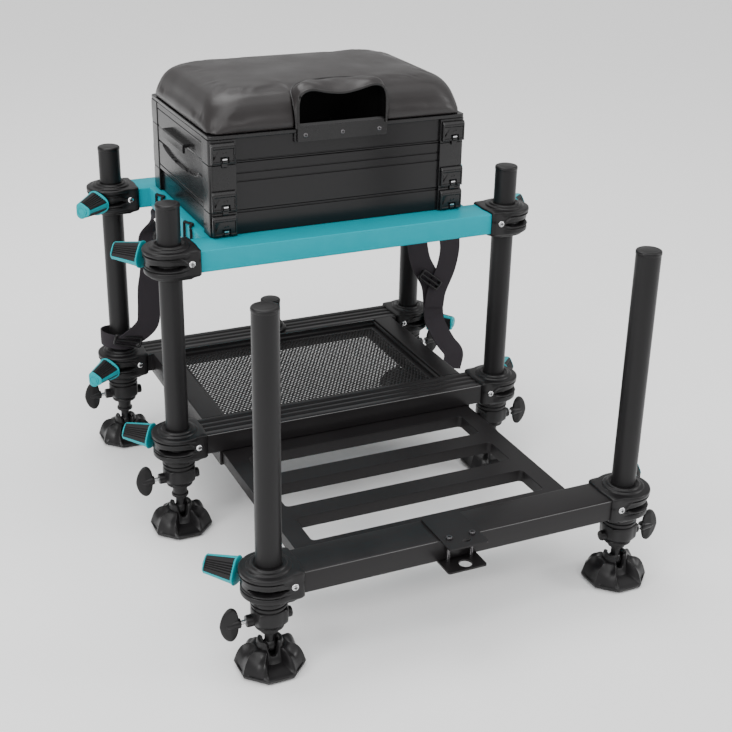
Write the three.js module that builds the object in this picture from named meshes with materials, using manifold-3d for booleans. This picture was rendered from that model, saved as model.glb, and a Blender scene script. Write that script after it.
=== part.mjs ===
// Fishing seat box: a cushioned tackle box on a frame of clamped tube legs, with a sliding
// footplate, telescopic leg adjusters and swivelling mud feet.
// Millimetres. X runs along the bars, Y from the footplate to the back, Z is up.

import * as THREE from 'three';
import { mergeGeometries, mergeVertices } from 'three/addons/utils/BufferGeometryUtils.js';
import Module from 'manifold-3d';

const wasm = await Module();
wasm.setup();

// Leg layout: the four main legs and the two footplate legs
const legSpanX = 570;
const legSpanY = 340;
const footplateSpanX = 564;
const footplateReach = 400;

// Heights above the ground
const upperFrameHeight = 443;
const lowerFrameHeight = 138;
const footplateBarHeight = 125;
const legTopHeight = 541;
const footplateLegTopHeight = 527;

// Clearances
const seatGap = 0.3;
const slideGap = 0.8;
const overlap = 0.3;
const cutOverrun = 2;

// Tubes and their push-in caps
const tubeRadius = 18;
const tubeWall = 2;
const capDome = 7;
const capBrim = 3;
const capPlug = 9;
const capCrownRadius = 14;

// Cross bars and side rails
const barWidth = 60;
const barThick = 34;
const barWall = 2.2;
const barEdge = 1.5;
const ribGrooveWidth = 7;
const ribGrooveDepth = 1.6;
const ribPitch = 14;
const ribCount = 3;
const railWidth = 36;
const boltHoleRadius = 5;
const upperRailOuterX = 226;
const lowerRailOuterX = 235;

// Corner clamps: a stepped collar, a split body, a lug over the bar's end and a boss for the knob
const clampDiscRadius = 41;
const clampDiscThick = 6;
const clampDiscRise = 3;
const clampRingRadius = 31;
const clampCollarRadius = 25;
const clampStep = 2.5;
const clampBodyRadius = 37;
const clampFootRadius = 32;
const clampDrop = 7;
const clampBevel = 3;
const clampSlotHeight = 7;
const clampSlotLevel = 11;
const clampSlotReach = 12;
const lugReach = 40;
const lugInset = 6;
const lugHalfWidth = 35.5;
const lugChamfer = 6;
const barSocketStart = 21;
const bossRadius = 9;
const bossReach = 44;
const bossRoot = 24;
const bossHoleDepth = 13;
const clampScrewReach = 24;
const clampScrewRadius = 5.5;
const clampScrewHead = 2.2;

// Clamp knobs: a three-sided tapered grip on a threaded stud
const knobAngle = 45;
const knobFlangeRadius = 22;
const knobFlangeThick = 3.5;
const knobRootRadius = 20.5;
const knobTipRadius = 15;
const knobGripLength = 46;
const knobEndRadius = 8.5;
const knobEndThick = 2;
const knobStudRadius = 4;
const knobStudLength = 11;
const knobCornerShare = 0.3;

// Leg adjusters: a moulded sleeve under each leg tube with a boss for the wing screw
const adjusterLength = 50;
const adjusterHeadRadius = 26.5;
const adjusterHeadLength = 8;
const adjusterGrooveRadius = 24;
const adjusterGrooveLength = 4;
const adjusterBodyRadius = 28;
const adjusterFootRadius = 21;
const adjusterTaper = 9;
const adjusterTubeDepth = 30;
const adjusterBossRadius = 8;
const adjusterBossReach = 34;
const wingLevel = 36;
const wingHoleDepth = 13;
const clampToAdjuster = 1;

// Wing screws
const wingStudRadius = 3;
const wingStudLength = 20;
const wingHubRadius = 7;
const wingHubLength = 12;
const wingSpan = 56;
const wingThick = 8;
const wingLobeWidth = 30;
const wingStudInset = 12;

// Telescopic stems with a ball end
const stemRadius = 11.5;
const stemTop = 148;
const stemShoulder = 64;
const stemFlangeRadius = 13.5;
const stemFlangeThick = 5;
const stemNeckRadius = 7.5;
const ballRadius = 10.5;
const ballHeight = 35;

// Mud feet: a faceted eight-sided plate with a slotted ball socket
const footRadius = 50;
const footRimHeight = 10;
const footShoulderRadius = 38;
const footShoulderHeight = 26;
const footCrownRadius = 27;
const footCrownHeight = 37;
const footFacetDip = 7;
const socketRadius = 17;
const socketTop = 48;
const socketBase = 10;
const socketSlotWidth = 17;
const socketSlotFloor = 26;

// Perforated tray between the lower bars
const trayDrop = 14;
const traySheet = 1.6;
const trayRim = 10;
const trayHoleLength = 36;
const trayHoleWidth = 17;
const trayHolePitchX = 48;
const trayHolePitchY = 26;

// Rear post for a butt rest
const postHeight = 55;
const postCollarRadius = 24;
const postCollarHeight = 12;

// Footplate deck of a slotted plate with folded edges, and its guides under the lower frame
const deckHalfWidth = 221;
const deckThick = 19;
const deckSheet = 2.5;
const deckRearY = 75;
const slotHalfLength = 190;
const slotWidth = 66;
const slotPitch = 101;
const firstSlotFrontY = -26;
const slotCount = 4;
const slotCorner = 7;
const guideSheet = 3;
const guideLip = 14;
const guideFrontY = -28;
const guideRearY = 366;

// Accessory bracket on the footplate's front bar
const bracketWidth = 61;
const bracketOffset = 11;
const bracketOverhang = 31;
const bracketPlate = 2.5;
const bracketScrewSpan = 36;
const bracketScrewRadius = 2.5;
const bracketScrewHeadRadius = 4.5;
const bracketScrewHead = 3;
const bracketHoleRadius = 9.5;
const bracketHoleInset = 14;
const bracketSlotRadius = 4;
const bracketSlotLength = 7;

// Tackle box: three stacked modules, two side drawers and the latches
const boxHalfX = 214;
const boxHalfY = 152;
const cornerWidth = 43;
const cornerDepth = 34;
const panelInset = 8;
const boxWall = 4;
const boxFloor = 3;
const baseHeight = 38;
const middleHeight = 73.5;
const topHeight = 38;
const panelGrooveHeight = 2.5;
const panelGrooveDepth = 1.5;
const latchThick = 6;
const latchWidth = 38;
const latchHeight = 31;
const latchMargin = 3;
const latchTongueWidth = 9;
const latchTongueDrop = 7;
const latchBevel = 3;
const drawerHalfY = 118;
const drawerFrontThick = 5;
const lowerDrawerRise = 8;
const lowerDrawerHeight = 37;
const upperDrawerRise = 4;
const upperDrawerHeight = 24;
const upperFrontDrop = 25;
const upperFrontRise = 28;
const drawerLength = 300;
const drawerWall = 2;
const pullReach = 13;
const pullThick = 5;
const pullHalfY = 55;
const pullLip = 9;
const fingerHalfY = 70;
const fingerHeight = 7;

// Seat: lid board, rear hinge, cushion and grab hood
const lidThick = 5.7;
const hingeRadius = 4;
const hingeKnuckle = 34;
const hingeSpreadX = 130;
const hingeLeaf = 2;
const cushionHeight = 56;
const cushionCrown = 5;
const cushionHalfX = 210;
const cushionHalfY = 150;
const cushionSlope = 34;
const cushionCorner = 26;
const cushionTopCorner = 62;
const cushionTuck = 3;
const cushionTuckHeight = 5;
const hoodHalfWidth = 74;
const hoodHeight = 56;
const hoodProud = 3;
const hoodDepth = 40;
const hoodCorner = 26;
const hoodSheet = 4;
const hoodSag = 5;
const stripHeight = 20;
const stripSheet = 2.5;
const stripLap = 8;
const skirtThick = 6;
const skirtDrop = 15;
const skirtMargin = 4;

// Carrying straps of webbing and the shock cord loops
const strapWidth = 40;
const strapThick = 2.5;
const buckleWidth = 52;
const buckleLength = 22;
const buckleThick = 6;
const buckleBar = 5;
const strapLoopRadius = 23;
const strapLoopHeight = 28;
const strapLoopLift = 16;
const cordRadius = 2.2;
const toggleRadius = 5;
const toggleLength = 14;
const elasticY = 262;
const elasticSpan = 190;

// Facets
const roundSides = 12;
const smallSides = 8;
const sleeveSides = 12;

const UP = new THREE.Vector3(0, 0, 1);
const QUARTER = Math.PI / 2;

// Finishes
const finishes = {
  blackAnodised: new THREE.MeshStandardMaterial({ color: 0x2f2d2f, roughness: 0.42, metalness: 0.6 }),
  tealPaint: new THREE.MeshStandardMaterial({ color: 0x00b9c9, roughness: 0.35, metalness: 0.3 }),
  blackNylon: new THREE.MeshStandardMaterial({ color: 0x2b292b, roughness: 0.6, metalness: 0 }),
  tealNylon: new THREE.MeshStandardMaterial({ color: 0x00b4bf, roughness: 0.45, metalness: 0 }),
  glossBlack: new THREE.MeshStandardMaterial({ color: 0x1c1b1c, roughness: 0.3, metalness: 0 }),
  boxPanel: new THREE.MeshStandardMaterial({ color: 0x2a282a, roughness: 0.4, metalness: 0.4 }),
  leather: new THREE.MeshStandardMaterial({ color: 0x2b2728, roughness: 0.42, metalness: 0 }),
  webbing: new THREE.MeshStandardMaterial({ color: 0x151315, roughness: 0.85, metalness: 0 }),
};

// Turns a closed geometry into a solid whose faces point outwards.
function solid(geometry) {
  const bare = geometry.clone();
  bare.deleteAttribute('normal');
  bare.deleteAttribute('uv');
  const welded = mergeVertices(bare, seatGap / 1000);
  const vertProperties = new Float32Array(welded.attributes.position.array);
  const triVerts = new Uint32Array(welded.index.array);
  if (signedVolume(vertProperties, triVerts) < 0) {
    for (let i = 0; i < triVerts.length; i += 3) {
      const swap = triVerts[i + 1];
      triVerts[i + 1] = triVerts[i + 2];
      triVerts[i + 2] = swap;
    }
  }
  return new wasm.Manifold(new wasm.Mesh({ numProp: 3, vertProperties, triVerts }));
}

function signedVolume(points, triangles) {
  const [a, b, c] = [new THREE.Vector3(), new THREE.Vector3(), new THREE.Vector3()];
  let sum = 0;
  for (let i = 0; i < triangles.length; i += 3) {
    a.fromArray(points, 3 * triangles[i]);
    b.fromArray(points, 3 * triangles[i + 1]);
    c.fromArray(points, 3 * triangles[i + 2]);
    sum += a.dot(b.cross(c)) / 6;
  }
  return sum;
}

function geometryOf(manifold) {
  const mesh = manifold.getMesh();
  const geometry = new THREE.BufferGeometry();
  geometry.setAttribute('position', new THREE.BufferAttribute(new Float32Array(mesh.vertProperties), 3));
  geometry.setIndex(new THREE.BufferAttribute(new Uint32Array(mesh.triVerts), 1));
  geometry.computeVertexNormals();
  return geometry;
}

const joined = (first, ...others) => others.reduce((sum, item) => sum.add(item), first);
const cutBy = (first, ...others) => others.reduce((rest, item) => rest.subtract(item), first);

function part(name, manifold, finish) {
  const mesh = new THREE.Mesh(geometryOf(manifold), finish);
  mesh.name = name;
  return mesh;
}

// Box between two corners
function block(x0, x1, y0, y1, z0, z1) {
  const box = new THREE.BoxGeometry(x1 - x0, y1 - y0, z1 - z0);
  box.translate((x0 + x1) / 2, (y0 + y1) / 2, (z0 + z1) / 2);
  return solid(box);
}

// Body of revolution about Z: points are [radius, height]
function turned(profile, sides = roundSides) {
  const points = profile.map(([radius, height]) => new THREE.Vector2(radius, height));
  const lathe = new THREE.LatheGeometry(points, sides);
  lathe.rotateX(QUARTER);
  return lathe;
}

function drum(radius, z0, z1, sides = roundSides) {
  return turned([[0, z0], [radius, z0], [radius, z1], [0, z1]], sides);
}

// Rod along +X from one distance to another
function rodX(radius, from, to, sides = smallSides) {
  const rod = drum(radius, from, to, sides);
  rod.rotateY(QUARTER);
  return rod;
}

function outline(points) {
  return new THREE.Shape(points.map(([x, y]) => new THREE.Vector2(x, y)));
}

function extruded(shape, length, curveSegments = 4) {
  return new THREE.ExtrudeGeometry(shape, { depth: length, bevelEnabled: false, curveSegments });
}

// Rectangle with round corners, centred
function roundRect(halfX, halfY, radius) {
  const shape = new THREE.Shape();
  shape.moveTo(-halfX + radius, -halfY);
  shape.lineTo(halfX - radius, -halfY);
  shape.absarc(halfX - radius, -halfY + radius, radius, -QUARTER, 0);
  shape.absarc(halfX - radius, halfY - radius, radius, 0, QUARTER);
  shape.absarc(-halfX + radius, halfY - radius, radius, QUARTER, 2 * QUARTER);
  shape.absarc(-halfX + radius, -halfY + radius, radius, 2 * QUARTER, 3 * QUARTER);
  return shape;
}

// Hollow bar section with small edge bevels and, on the black bars, grooves along the top
function barSection(width, thick, grooves) {
  const half = width / 2;
  const points = [[-half, barEdge], [-half + barEdge, 0], [half - barEdge, 0], [half, barEdge]];
  points.push([half, thick - barEdge], [half - barEdge, thick]);
  for (let i = grooves - 1; i >= 0; i -= 1) {
    const middle = (i - (grooves - 1) / 2) * ribPitch;
    points.push([middle + ribGrooveWidth / 2, thick]);
    points.push([middle + ribGrooveWidth / 2 - ribGrooveDepth, thick - ribGrooveDepth]);
    points.push([middle - ribGrooveWidth / 2 + ribGrooveDepth, thick - ribGrooveDepth]);
    points.push([middle - ribGrooveWidth / 2, thick]);
  }
  points.push([-half + barEdge, thick], [-half, thick - barEdge]);
  const shape = outline(points);
  const inset = half - barWall;
  const ceiling = thick - barWall - (grooves > 0 ? ribGrooveDepth : 0);
  shape.holes.push(outline([[-inset, barWall], [inset, barWall], [inset, ceiling], [-inset, ceiling]]));
  return shape;
}

// Bar along X, its underside on z = 0, centred on y = 0
function barAlongX(width, thick, halfLength, grooves) {
  const bar = extruded(barSection(width, thick, grooves), 2 * halfLength);
  bar.rotateX(QUARTER);
  bar.rotateZ(QUARTER);
  bar.translate(-halfLength, 0, 0);
  return solid(bar);
}

// Rail along Y between two places
function railAlongY(width, thick, y0, y1) {
  const rail = extruded(barSection(width, thick, 0), y1 - y0);
  rail.rotateX(QUARTER);
  rail.translate(0, y1, 0);
  return solid(rail);
}

// Two cross bars at the leg lines and two rails between them
function ladderFrame(grooves, railOuterX) {
  const barHalf = legSpanX / 2 - barSocketStart - seatGap;
  const front = barAlongX(barWidth, barThick, barHalf, grooves);
  const rear = front.translate([0, legSpanY, 0]);
  const railStart = barWidth / 2;
  const rail = railAlongY(railWidth, barThick, railStart, legSpanY - railStart);
  const railX = railOuterX - railWidth / 2;
  const ladder = joined(front, rear, rail.translate([railX, 0, 0]), rail.translate([-railX, 0, 0]));
  const bolts = [-railX, railX].flatMap((x) => [railStart, legSpanY - railStart].map((y) => {
    const hole = drum(boltHoleRadius, -barWall - cutOverrun, barWall + cutOverrun, smallSides);
    hole.rotateX(QUARTER);
    hole.translate(x, y, barThick / 2);
    return solid(hole);
  }));
  return cutBy(ladder, ...bolts);
}

// Push-in cap with a brim and a low dome, its brim on z = 0
function tubeCap() {
  const plugRadius = tubeRadius - tubeWall - seatGap;
  return solid(turned([
    [0, -capPlug],
    [plugRadius, -capPlug],
    [plugRadius, 0],
    [tubeRadius, 0],
    [tubeRadius, capBrim],
    [capCrownRadius, capDome - seatGap],
    [0, capDome],
  ]));
}

function tube(z0, z1) {
  const inner = tubeRadius - tubeWall;
  return solid(turned([[inner, z0], [tubeRadius, z0], [tubeRadius, z1], [inner, z1], [inner, z0]]));
}

// Sleeve with its head on z = 0: the tube seats in it from above and the stem slides in it
function adjusterSleeve(side) {
  const grooveTop = -adjusterHeadLength;
  const bodyTop = grooveTop - adjusterGrooveLength;
  const bore = tubeRadius - tubeWall / 2;
  const stemBore = stemRadius + seatGap;
  const sleeve = solid(turned([
    [bore, 0],
    [bore, -adjusterTubeDepth],
    [stemBore, -adjusterTubeDepth],
    [stemBore, -adjusterLength],
    [adjusterFootRadius, -adjusterLength],
    [adjusterBodyRadius, adjusterTaper - adjusterLength],
    [adjusterBodyRadius, bodyTop],
    [adjusterGrooveRadius, grooveTop],
    [adjusterHeadRadius, 0],
    [bore, 0],
  ], sleeveSides));
  const wingBoss = rodX(adjusterBossRadius, adjusterGrooveRadius, adjusterBossReach);
  const farBoss = rodX(adjusterBossRadius, -adjusterBodyRadius - adjusterBossRadius / 2, -adjusterGrooveRadius);
  const hole = rodX(wingStudRadius + seatGap, adjusterBossReach - wingHoleDepth, adjusterBossReach + cutOverrun);
  const bosses = [wingBoss, farBoss, hole].map((rod) => {
    rod.rotateZ(side > 0 ? 0 : 2 * QUARTER);
    rod.translate(0, 0, -wingLevel);
    return solid(rod);
  });
  return cutBy(joined(sleeve, bosses[0], bosses[1]), bosses[2]);
}

// Wing screw along +X: a stud, a hub and two lobes
function wingScrew() {
  const lobe = new THREE.Shape();
  lobe.absellipse(0, 0, wingLobeWidth / 2, wingSpan / 2, 0, 2 * Math.PI);
  const wings = extruded(lobe, wingThick, 5);
  wings.rotateX(QUARTER);
  wings.translate(wingStudLength + wingLobeWidth / 2, wingThick / 2, 0);
  const hub = rodX(wingHubRadius, wingStudLength - seatGap, wingStudLength + wingHubLength);
  const stud = rodX(wingStudRadius, 0, wingStudLength);
  return joined(solid(wings), solid(hub), solid(stud));
}

// Round stem with a flange, a neck and a ball, in heights above the ground
function stemSolid() {
  const points = [];
  const steps = 4;
  const neckAngle = Math.acos(stemNeckRadius / ballRadius);
  for (let i = 0; i <= steps; i += 1) {
    const angle = -QUARTER + (i / steps) * (QUARTER + neckAngle);
    points.push([Math.max(0, ballRadius * Math.cos(angle)), ballHeight + ballRadius * Math.sin(angle)]);
  }
  points[0][0] = 0;
  points.push(
    [stemNeckRadius, stemShoulder - stemFlangeThick],
    [stemFlangeRadius, stemShoulder - stemFlangeThick / 2],
    [stemRadius, stemShoulder],
    [stemRadius, stemTop],
    [0, stemTop],
  );
  return solid(turned(points, sleeveSides));
}

// Eight-sided plate whose rim, shoulder and crown zigzag between ridges and grooves
function footSolid() {
  const corners = 8;
  const count = 2 * corners;
  const flat = Math.cos(Math.PI / corners);
  const rings = [
    { radius: footRadius, dip: 0, height: 0 },
    { radius: footRadius, dip: 0, height: footRimHeight },
    { radius: footShoulderRadius, dip: footFacetDip, height: footShoulderHeight },
    { radius: footCrownRadius, dip: footFacetDip / 2, height: footCrownHeight },
  ];
  const position = [];
  rings.forEach((ring) => {
    for (let i = 0; i < count; i += 1) {
      const angle = ((i + 1) / count) * 2 * Math.PI;
      const ridge = i % 2 === 0;
      const radius = ring.radius * (ridge ? 1 : flat);
      position.push(radius * Math.cos(angle), radius * Math.sin(angle), ring.height - (ridge ? 0 : ring.dip));
    }
  });
  const under = position.length / 3;
  position.push(0, 0, 0, 0, 0, footCrownHeight);
  const index = [];
  for (let i = 0; i < count; i += 1) {
    const next = (i + 1) % count;
    for (let r = 0; r < rings.length - 1; r += 1) {
      const low = r * count;
      const high = low + count;
      index.push(low + i, low + next, high + next, low + i, high + next, high + i);
    }
    const top = (rings.length - 1) * count;
    index.push(under, next, i, under + 1, top + i, top + next);
  }
  const plate = new THREE.BufferGeometry();
  plate.setAttribute('position', new THREE.BufferAttribute(new Float32Array(position), 3));
  plate.setIndex(index);
  const socket = solid(drum(socketRadius, socketBase, socketTop, sleeveSides));
  const cup = new THREE.SphereGeometry(ballRadius + 2 * seatGap, sleeveSides, smallSides);
  cup.rotateX(QUARTER);
  cup.translate(0, 0, ballHeight);
  const throat = drum(ballRadius - slideGap, ballHeight, socketTop + cutOverrun, sleeveSides);
  const halfSlot = socketSlotWidth / 2;
  const slot = block(-halfSlot, halfSlot, -footCrownRadius, footCrownRadius, socketSlotFloor, socketTop + cutOverrun);
  return cutBy(joined(solid(plate), socket), solid(cup), solid(throat), slot);
}

// Corner clamp on a leg at the origin with its bar towards +X, heights above the bar's underside.
// knobSide and screwSide are 1 on the +Y side and -1 on the -Y side; fit is the play round the bar.
function clampSolid(knobSide, screwSide, fit) {
  const discTop = barThick + clampDiscRise;
  const bore = tubeRadius + seatGap;
  const body = solid(turned([
    [bore, -clampDrop],
    [clampFootRadius, -clampDrop],
    [clampBodyRadius, clampBevel - clampDrop],
    [clampBodyRadius, discTop - clampDiscThick - clampBevel],
    [clampDiscRadius, discTop - clampDiscThick],
    [clampDiscRadius, discTop],
    [clampRingRadius, discTop],
    [clampRingRadius, discTop + clampStep],
    [clampCollarRadius, discTop + 2 * clampStep],
    [bore, discTop + 2 * clampStep],
    [bore, -clampDrop],
  ]));
  const lugFloor = clampBevel - clampDrop;
  const lugTop = discTop - clampBevel / 2;
  const lug = extruded(outline([
    [lugInset, lugFloor],
    [lugReach - lugChamfer, lugFloor],
    [lugReach, lugFloor + lugChamfer / 2],
    [lugReach, lugTop],
    [lugInset, lugTop],
  ]), 2 * lugHalfWidth);
  lug.rotateX(QUARTER);
  lug.translate(0, lugHalfWidth, 0);
  const middle = barThick / 2;
  const turn = Math.PI - knobSide * THREE.MathUtils.degToRad(knobAngle);
  const boss = rodX(bossRadius, bossRoot, bossReach);
  const bossHole = rodX((knobStudRadius + seatGap) / Math.cos(Math.PI / smallSides), bossReach - bossHoleDepth, bossReach + cutOverrun);
  [boss, bossHole].forEach((rod) => {
    rod.rotateZ(turn);
    rod.translate(0, 0, middle);
  });
  const legBore = solid(drum(bore, -clampDrop - cutOverrun, discTop + 2 * clampStep + cutOverrun));
  const halfBar = barWidth / 2 + fit;
  const socketFar = lugReach + cutOverrun;
  const socket = block(barSocketStart, socketFar, -halfBar, halfBar, -fit, barThick + fit);
  const vent = rodX(boltHoleRadius, bossRadius, barSocketStart + cutOverrun);
  vent.translate(0, 0, middle);
  const screw = drum(clampScrewRadius, lugHalfWidth - overlap, lugHalfWidth + clampScrewHead, smallSides);
  screw.rotateX(-screwSide * QUARTER);
  screw.translate(clampScrewReach, 0, middle);
  const slotNear = -knobSide * clampSlotReach / 3;
  const slotFar = -knobSide * (clampDiscRadius + cutOverrun);
  const slot = block(
    -clampDiscRadius - cutOverrun, clampSlotReach,
    Math.min(slotNear, slotFar), Math.max(slotNear, slotFar),
    clampSlotLevel, clampSlotLevel + clampSlotHeight,
  );
  const moulding = cutBy(joined(body, solid(lug), solid(boss)), legBore, socket, slot, solid(bossHole), solid(vent));
  return joined(moulding, solid(screw));
}

// Knob along +X: stud, round flange, three-sided tapered grip and end disc
function knobSolid() {
  const gripStart = knobFlangeThick - seatGap;
  const gripEnd = gripStart + knobGripLength;
  const corners = [];
  for (let i = 0; i < 3; i += 1) {
    const middle = (i / 3) * 2 * Math.PI;
    corners.push(middle - knobCornerShare, middle + knobCornerShare);
  }
  const position = [];
  [[knobRootRadius, gripStart], [knobTipRadius, gripEnd]].forEach(([radius, x]) => {
    corners.forEach((angle) => position.push(x, radius * Math.cos(angle), radius * Math.sin(angle)));
  });
  const count = corners.length;
  const index = [];
  for (let i = 0; i < count; i += 1) {
    const next = (i + 1) % count;
    index.push(i, next, count + next, i, count + next, count + i);
    if (i > 0 && i < count - 1) index.push(0, i + 1, i, count, count + i, count + i + 1);
  }
  const grip = new THREE.BufferGeometry();
  grip.setAttribute('position', new THREE.BufferAttribute(new Float32Array(position), 3));
  grip.setIndex(index);
  const flange = rodX(knobFlangeRadius, 0, knobFlangeThick, 12);
  const end = rodX(knobEndRadius, gripEnd - seatGap, gripEnd + knobEndThick, 8);
  const stud = rodX(knobStudRadius, -knobStudLength, seatGap, 8);
  return joined(solid(grip), solid(flange), solid(end), solid(stud));
}

// Leg places: sideX is the side of the frame, knobSide the way the clamp knob points
const mainLegs = [
  { name: 'front_left', sideX: -1, y: 0, knobSide: 1 },
  { name: 'front_right', sideX: 1, y: 0, knobSide: 1 },
  { name: 'rear_left', sideX: -1, y: legSpanY, knobSide: -1 },
  { name: 'rear_right', sideX: 1, y: legSpanY, knobSide: -1 },
];
const footplateLegs = [
  { name: 'footplate_left', sideX: -1, y: -footplateReach, knobSide: 1 },
  { name: 'footplate_right', sideX: 1, y: -footplateReach, knobSide: 1 },
];

// A clamp seen from the right-hand side is the left one turned half round and mirrored in Y
function placedClamp(leg, span, height, fit) {
  const clamp = clampSolid(-leg.sideX * leg.knobSide, leg.sideX, fit);
  const turned180 = leg.sideX > 0 ? clamp.rotate([0, 0, 180]) : clamp;
  return turned180.translate([leg.sideX * span / 2, leg.y, height]);
}

// Frame with its clamps moulded on
function withClamps(frame, legs, span, height) {
  return joined(frame, ...legs.map((leg) => placedClamp(leg, span, height, -overlap)));
}

function clampKnob(prefix, leg, span, height) {
  const knob = part(`${prefix}_knob_${leg.name}`, knobSolid(), finishes.tealNylon);
  const spread = THREE.MathUtils.degToRad(knobAngle);
  const angle = leg.sideX < 0 ? Math.PI - leg.knobSide * spread : leg.knobSide * spread;
  const reach = bossReach + seatGap;
  knob.position.set(
    leg.sideX * span / 2 + reach * Math.cos(angle),
    leg.y + reach * Math.sin(angle),
    height + barThick / 2,
  );
  knob.rotation.z = angle;
  return knob;
}

// Leg with its cap and adjuster, wing screw, stem and foot
function legGroup(leg, span, frameHeight, topHeightAboveGround) {
  const group = new THREE.Group();
  group.position.set(leg.sideX * span / 2, leg.y, 0);
  const sleeveTop = frameHeight - clampDrop - clampToAdjuster;
  const tubeBottom = sleeveTop - adjusterTubeDepth + seatGap;
  const legSolid = joined(
    tube(tubeBottom, topHeightAboveGround + overlap),
    tubeCap().translate([0, 0, topHeightAboveGround]),
    adjusterSleeve(leg.sideX).translate([0, 0, sleeveTop]),
  );
  group.add(part(`leg_${leg.name}`, legSolid, finishes.blackAnodised));
  const wing = part(`wing_screw_${leg.name}`, wingScrew(), finishes.blackNylon);
  const studStart = adjusterBossReach - wingStudInset;
  wing.position.set(leg.sideX * studStart, 0, sleeveTop - wingLevel);
  wing.rotation.z = leg.sideX > 0 ? 0 : Math.PI;
  group.add(wing);
  group.add(part(`stem_${leg.name}`, stemSolid(), finishes.blackNylon));
  group.add(part(`foot_${leg.name}`, footSolid(), finishes.blackNylon));
  return group;
}

// Perforated tray: a sheet with a turned-up rim and rows of staggered slots
function traySolid() {
  const halfX = lowerRailOuterX - railWidth - seatGap;
  const front = barWidth / 2 + seatGap;
  const rear = legSpanY - front;
  const floor = lowerFrameHeight + barThick - trayDrop;
  const sheet = new THREE.Shape();
  sheet.moveTo(-halfX, front);
  sheet.lineTo(halfX, front);
  sheet.lineTo(halfX, rear);
  sheet.lineTo(-halfX, rear);
  sheet.closePath();
  const usableX = halfX - trayRim - trayHoleLength;
  const usableY = (rear - front) / 2 - trayRim - trayHoleWidth;
  const columns = Math.floor(usableX / trayHolePitchX);
  const rows = Math.floor(usableY / trayHolePitchY);
  for (let row = -rows; row <= rows; row += 1) {
    const shift = row % 2 === 0 ? 0 : trayHolePitchX / 2;
    for (let column = -columns; column < columns; column += 1) {
      const x = column * trayHolePitchX + shift;
      const y = legSpanY / 2 + row * trayHolePitchY;
      const [dx, dy] = [trayHoleLength / 2, trayHoleWidth / 2];
      sheet.holes.push(outline([[x - dx, y], [x, y - dy], [x + dx, y], [x, y + dy]]));
    }
  }
  const plate = extruded(sheet, traySheet);
  plate.translate(0, 0, floor);
  const rimOuter = block(-halfX, halfX, front, rear, floor, floor + trayRim);
  const rimInner = block(
    -halfX + traySheet, halfX - traySheet, front + traySheet, rear - traySheet,
    floor - cutOverrun, floor + trayRim + cutOverrun,
  );
  return joined(solid(plate), cutBy(rimOuter, rimInner));
}

function rearPostSolid() {
  const base = lowerFrameHeight + barThick + seatGap;
  const bore = tubeRadius - overlap;
  const collar = solid(turned([
    [bore, base],
    [postCollarRadius, base],
    [postCollarRadius, base + postCollarHeight],
    [bore, base + postCollarHeight],
    [bore, base],
  ]));
  const post = joined(tube(base, base + postHeight + overlap), tubeCap().translate([0, 0, base + postHeight]), collar);
  return post.translate([0, legSpanY, 0]);
}

// Slotted plate with rails, cross slats and a hollow underside
function deckSolid() {
  const top = lowerFrameHeight - slideGap;
  const front = -footplateReach + barWidth / 2 + seatGap;
  const plate = new THREE.Shape();
  plate.moveTo(-deckHalfWidth, front);
  plate.lineTo(deckHalfWidth, front);
  plate.lineTo(deckHalfWidth, deckRearY);
  plate.lineTo(-deckHalfWidth, deckRearY);
  plate.closePath();
  const corner = slotCorner;
  for (let i = 0; i < slotCount; i += 1) {
    const y0 = firstSlotFrontY - i * slotPitch;
    const hole = roundRect(slotHalfLength, slotWidth / 2, corner);
    const points = hole.getPoints(2).map((p) => new THREE.Vector2(p.x, p.y + y0 + slotWidth / 2));
    plate.holes.push(new THREE.Shape(points));
  }
  const slab = extruded(plate, deckThick);
  slab.translate(0, 0, top - deckThick);
  const ceiling = top - deckSheet;
  const below = top - deckThick - cutOverrun;
  const railInner = slotHalfLength + deckSheet;
  const railOuter = deckHalfWidth - deckSheet;
  const pockets = [
    block(railInner, railOuter, front + deckSheet, deckRearY - deckSheet, below, ceiling),
    block(-railOuter, -railInner, front + deckSheet, deckRearY - deckSheet, below, ceiling),
  ];
  for (let i = -1; i < slotCount; i += 1) {
    const slatRear = i < 0 ? deckRearY : firstSlotFrontY - i * slotPitch;
    const slatFront = i + 1 < slotCount ? firstSlotFrontY - (i + 1) * slotPitch + slotWidth : front;
    const halfSlat = slotHalfLength - slotCorner;
    pockets.push(block(-halfSlat, halfSlat, slatFront + deckSheet, slatRear - deckSheet, below, ceiling));
  }
  return cutBy(solid(slab), ...pockets);
}

// Angle guides under the lower frame that carry the deck's rails
function guideSolid() {
  const top = lowerFrameHeight + overlap;
  const webInner = deckHalfWidth + slideGap;
  const lipTop = lowerFrameHeight - slideGap - deckThick - slideGap;
  const section = outline([
    [webInner, top],
    [webInner, lipTop],
    [webInner - guideLip, lipTop],
    [webInner - guideLip, lipTop - guideSheet],
    [webInner + guideSheet, lipTop - guideSheet],
    [webInner + guideSheet, top],
  ]);
  const angle = extruded(section, guideRearY - guideFrontY);
  angle.rotateX(QUARTER);
  angle.translate(0, guideRearY, 0);
  const right = solid(angle);
  const left = right.rotate([0, 0, 180]).translate([0, guideRearY + guideFrontY, 0]);
  return joined(right, left);
}

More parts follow.
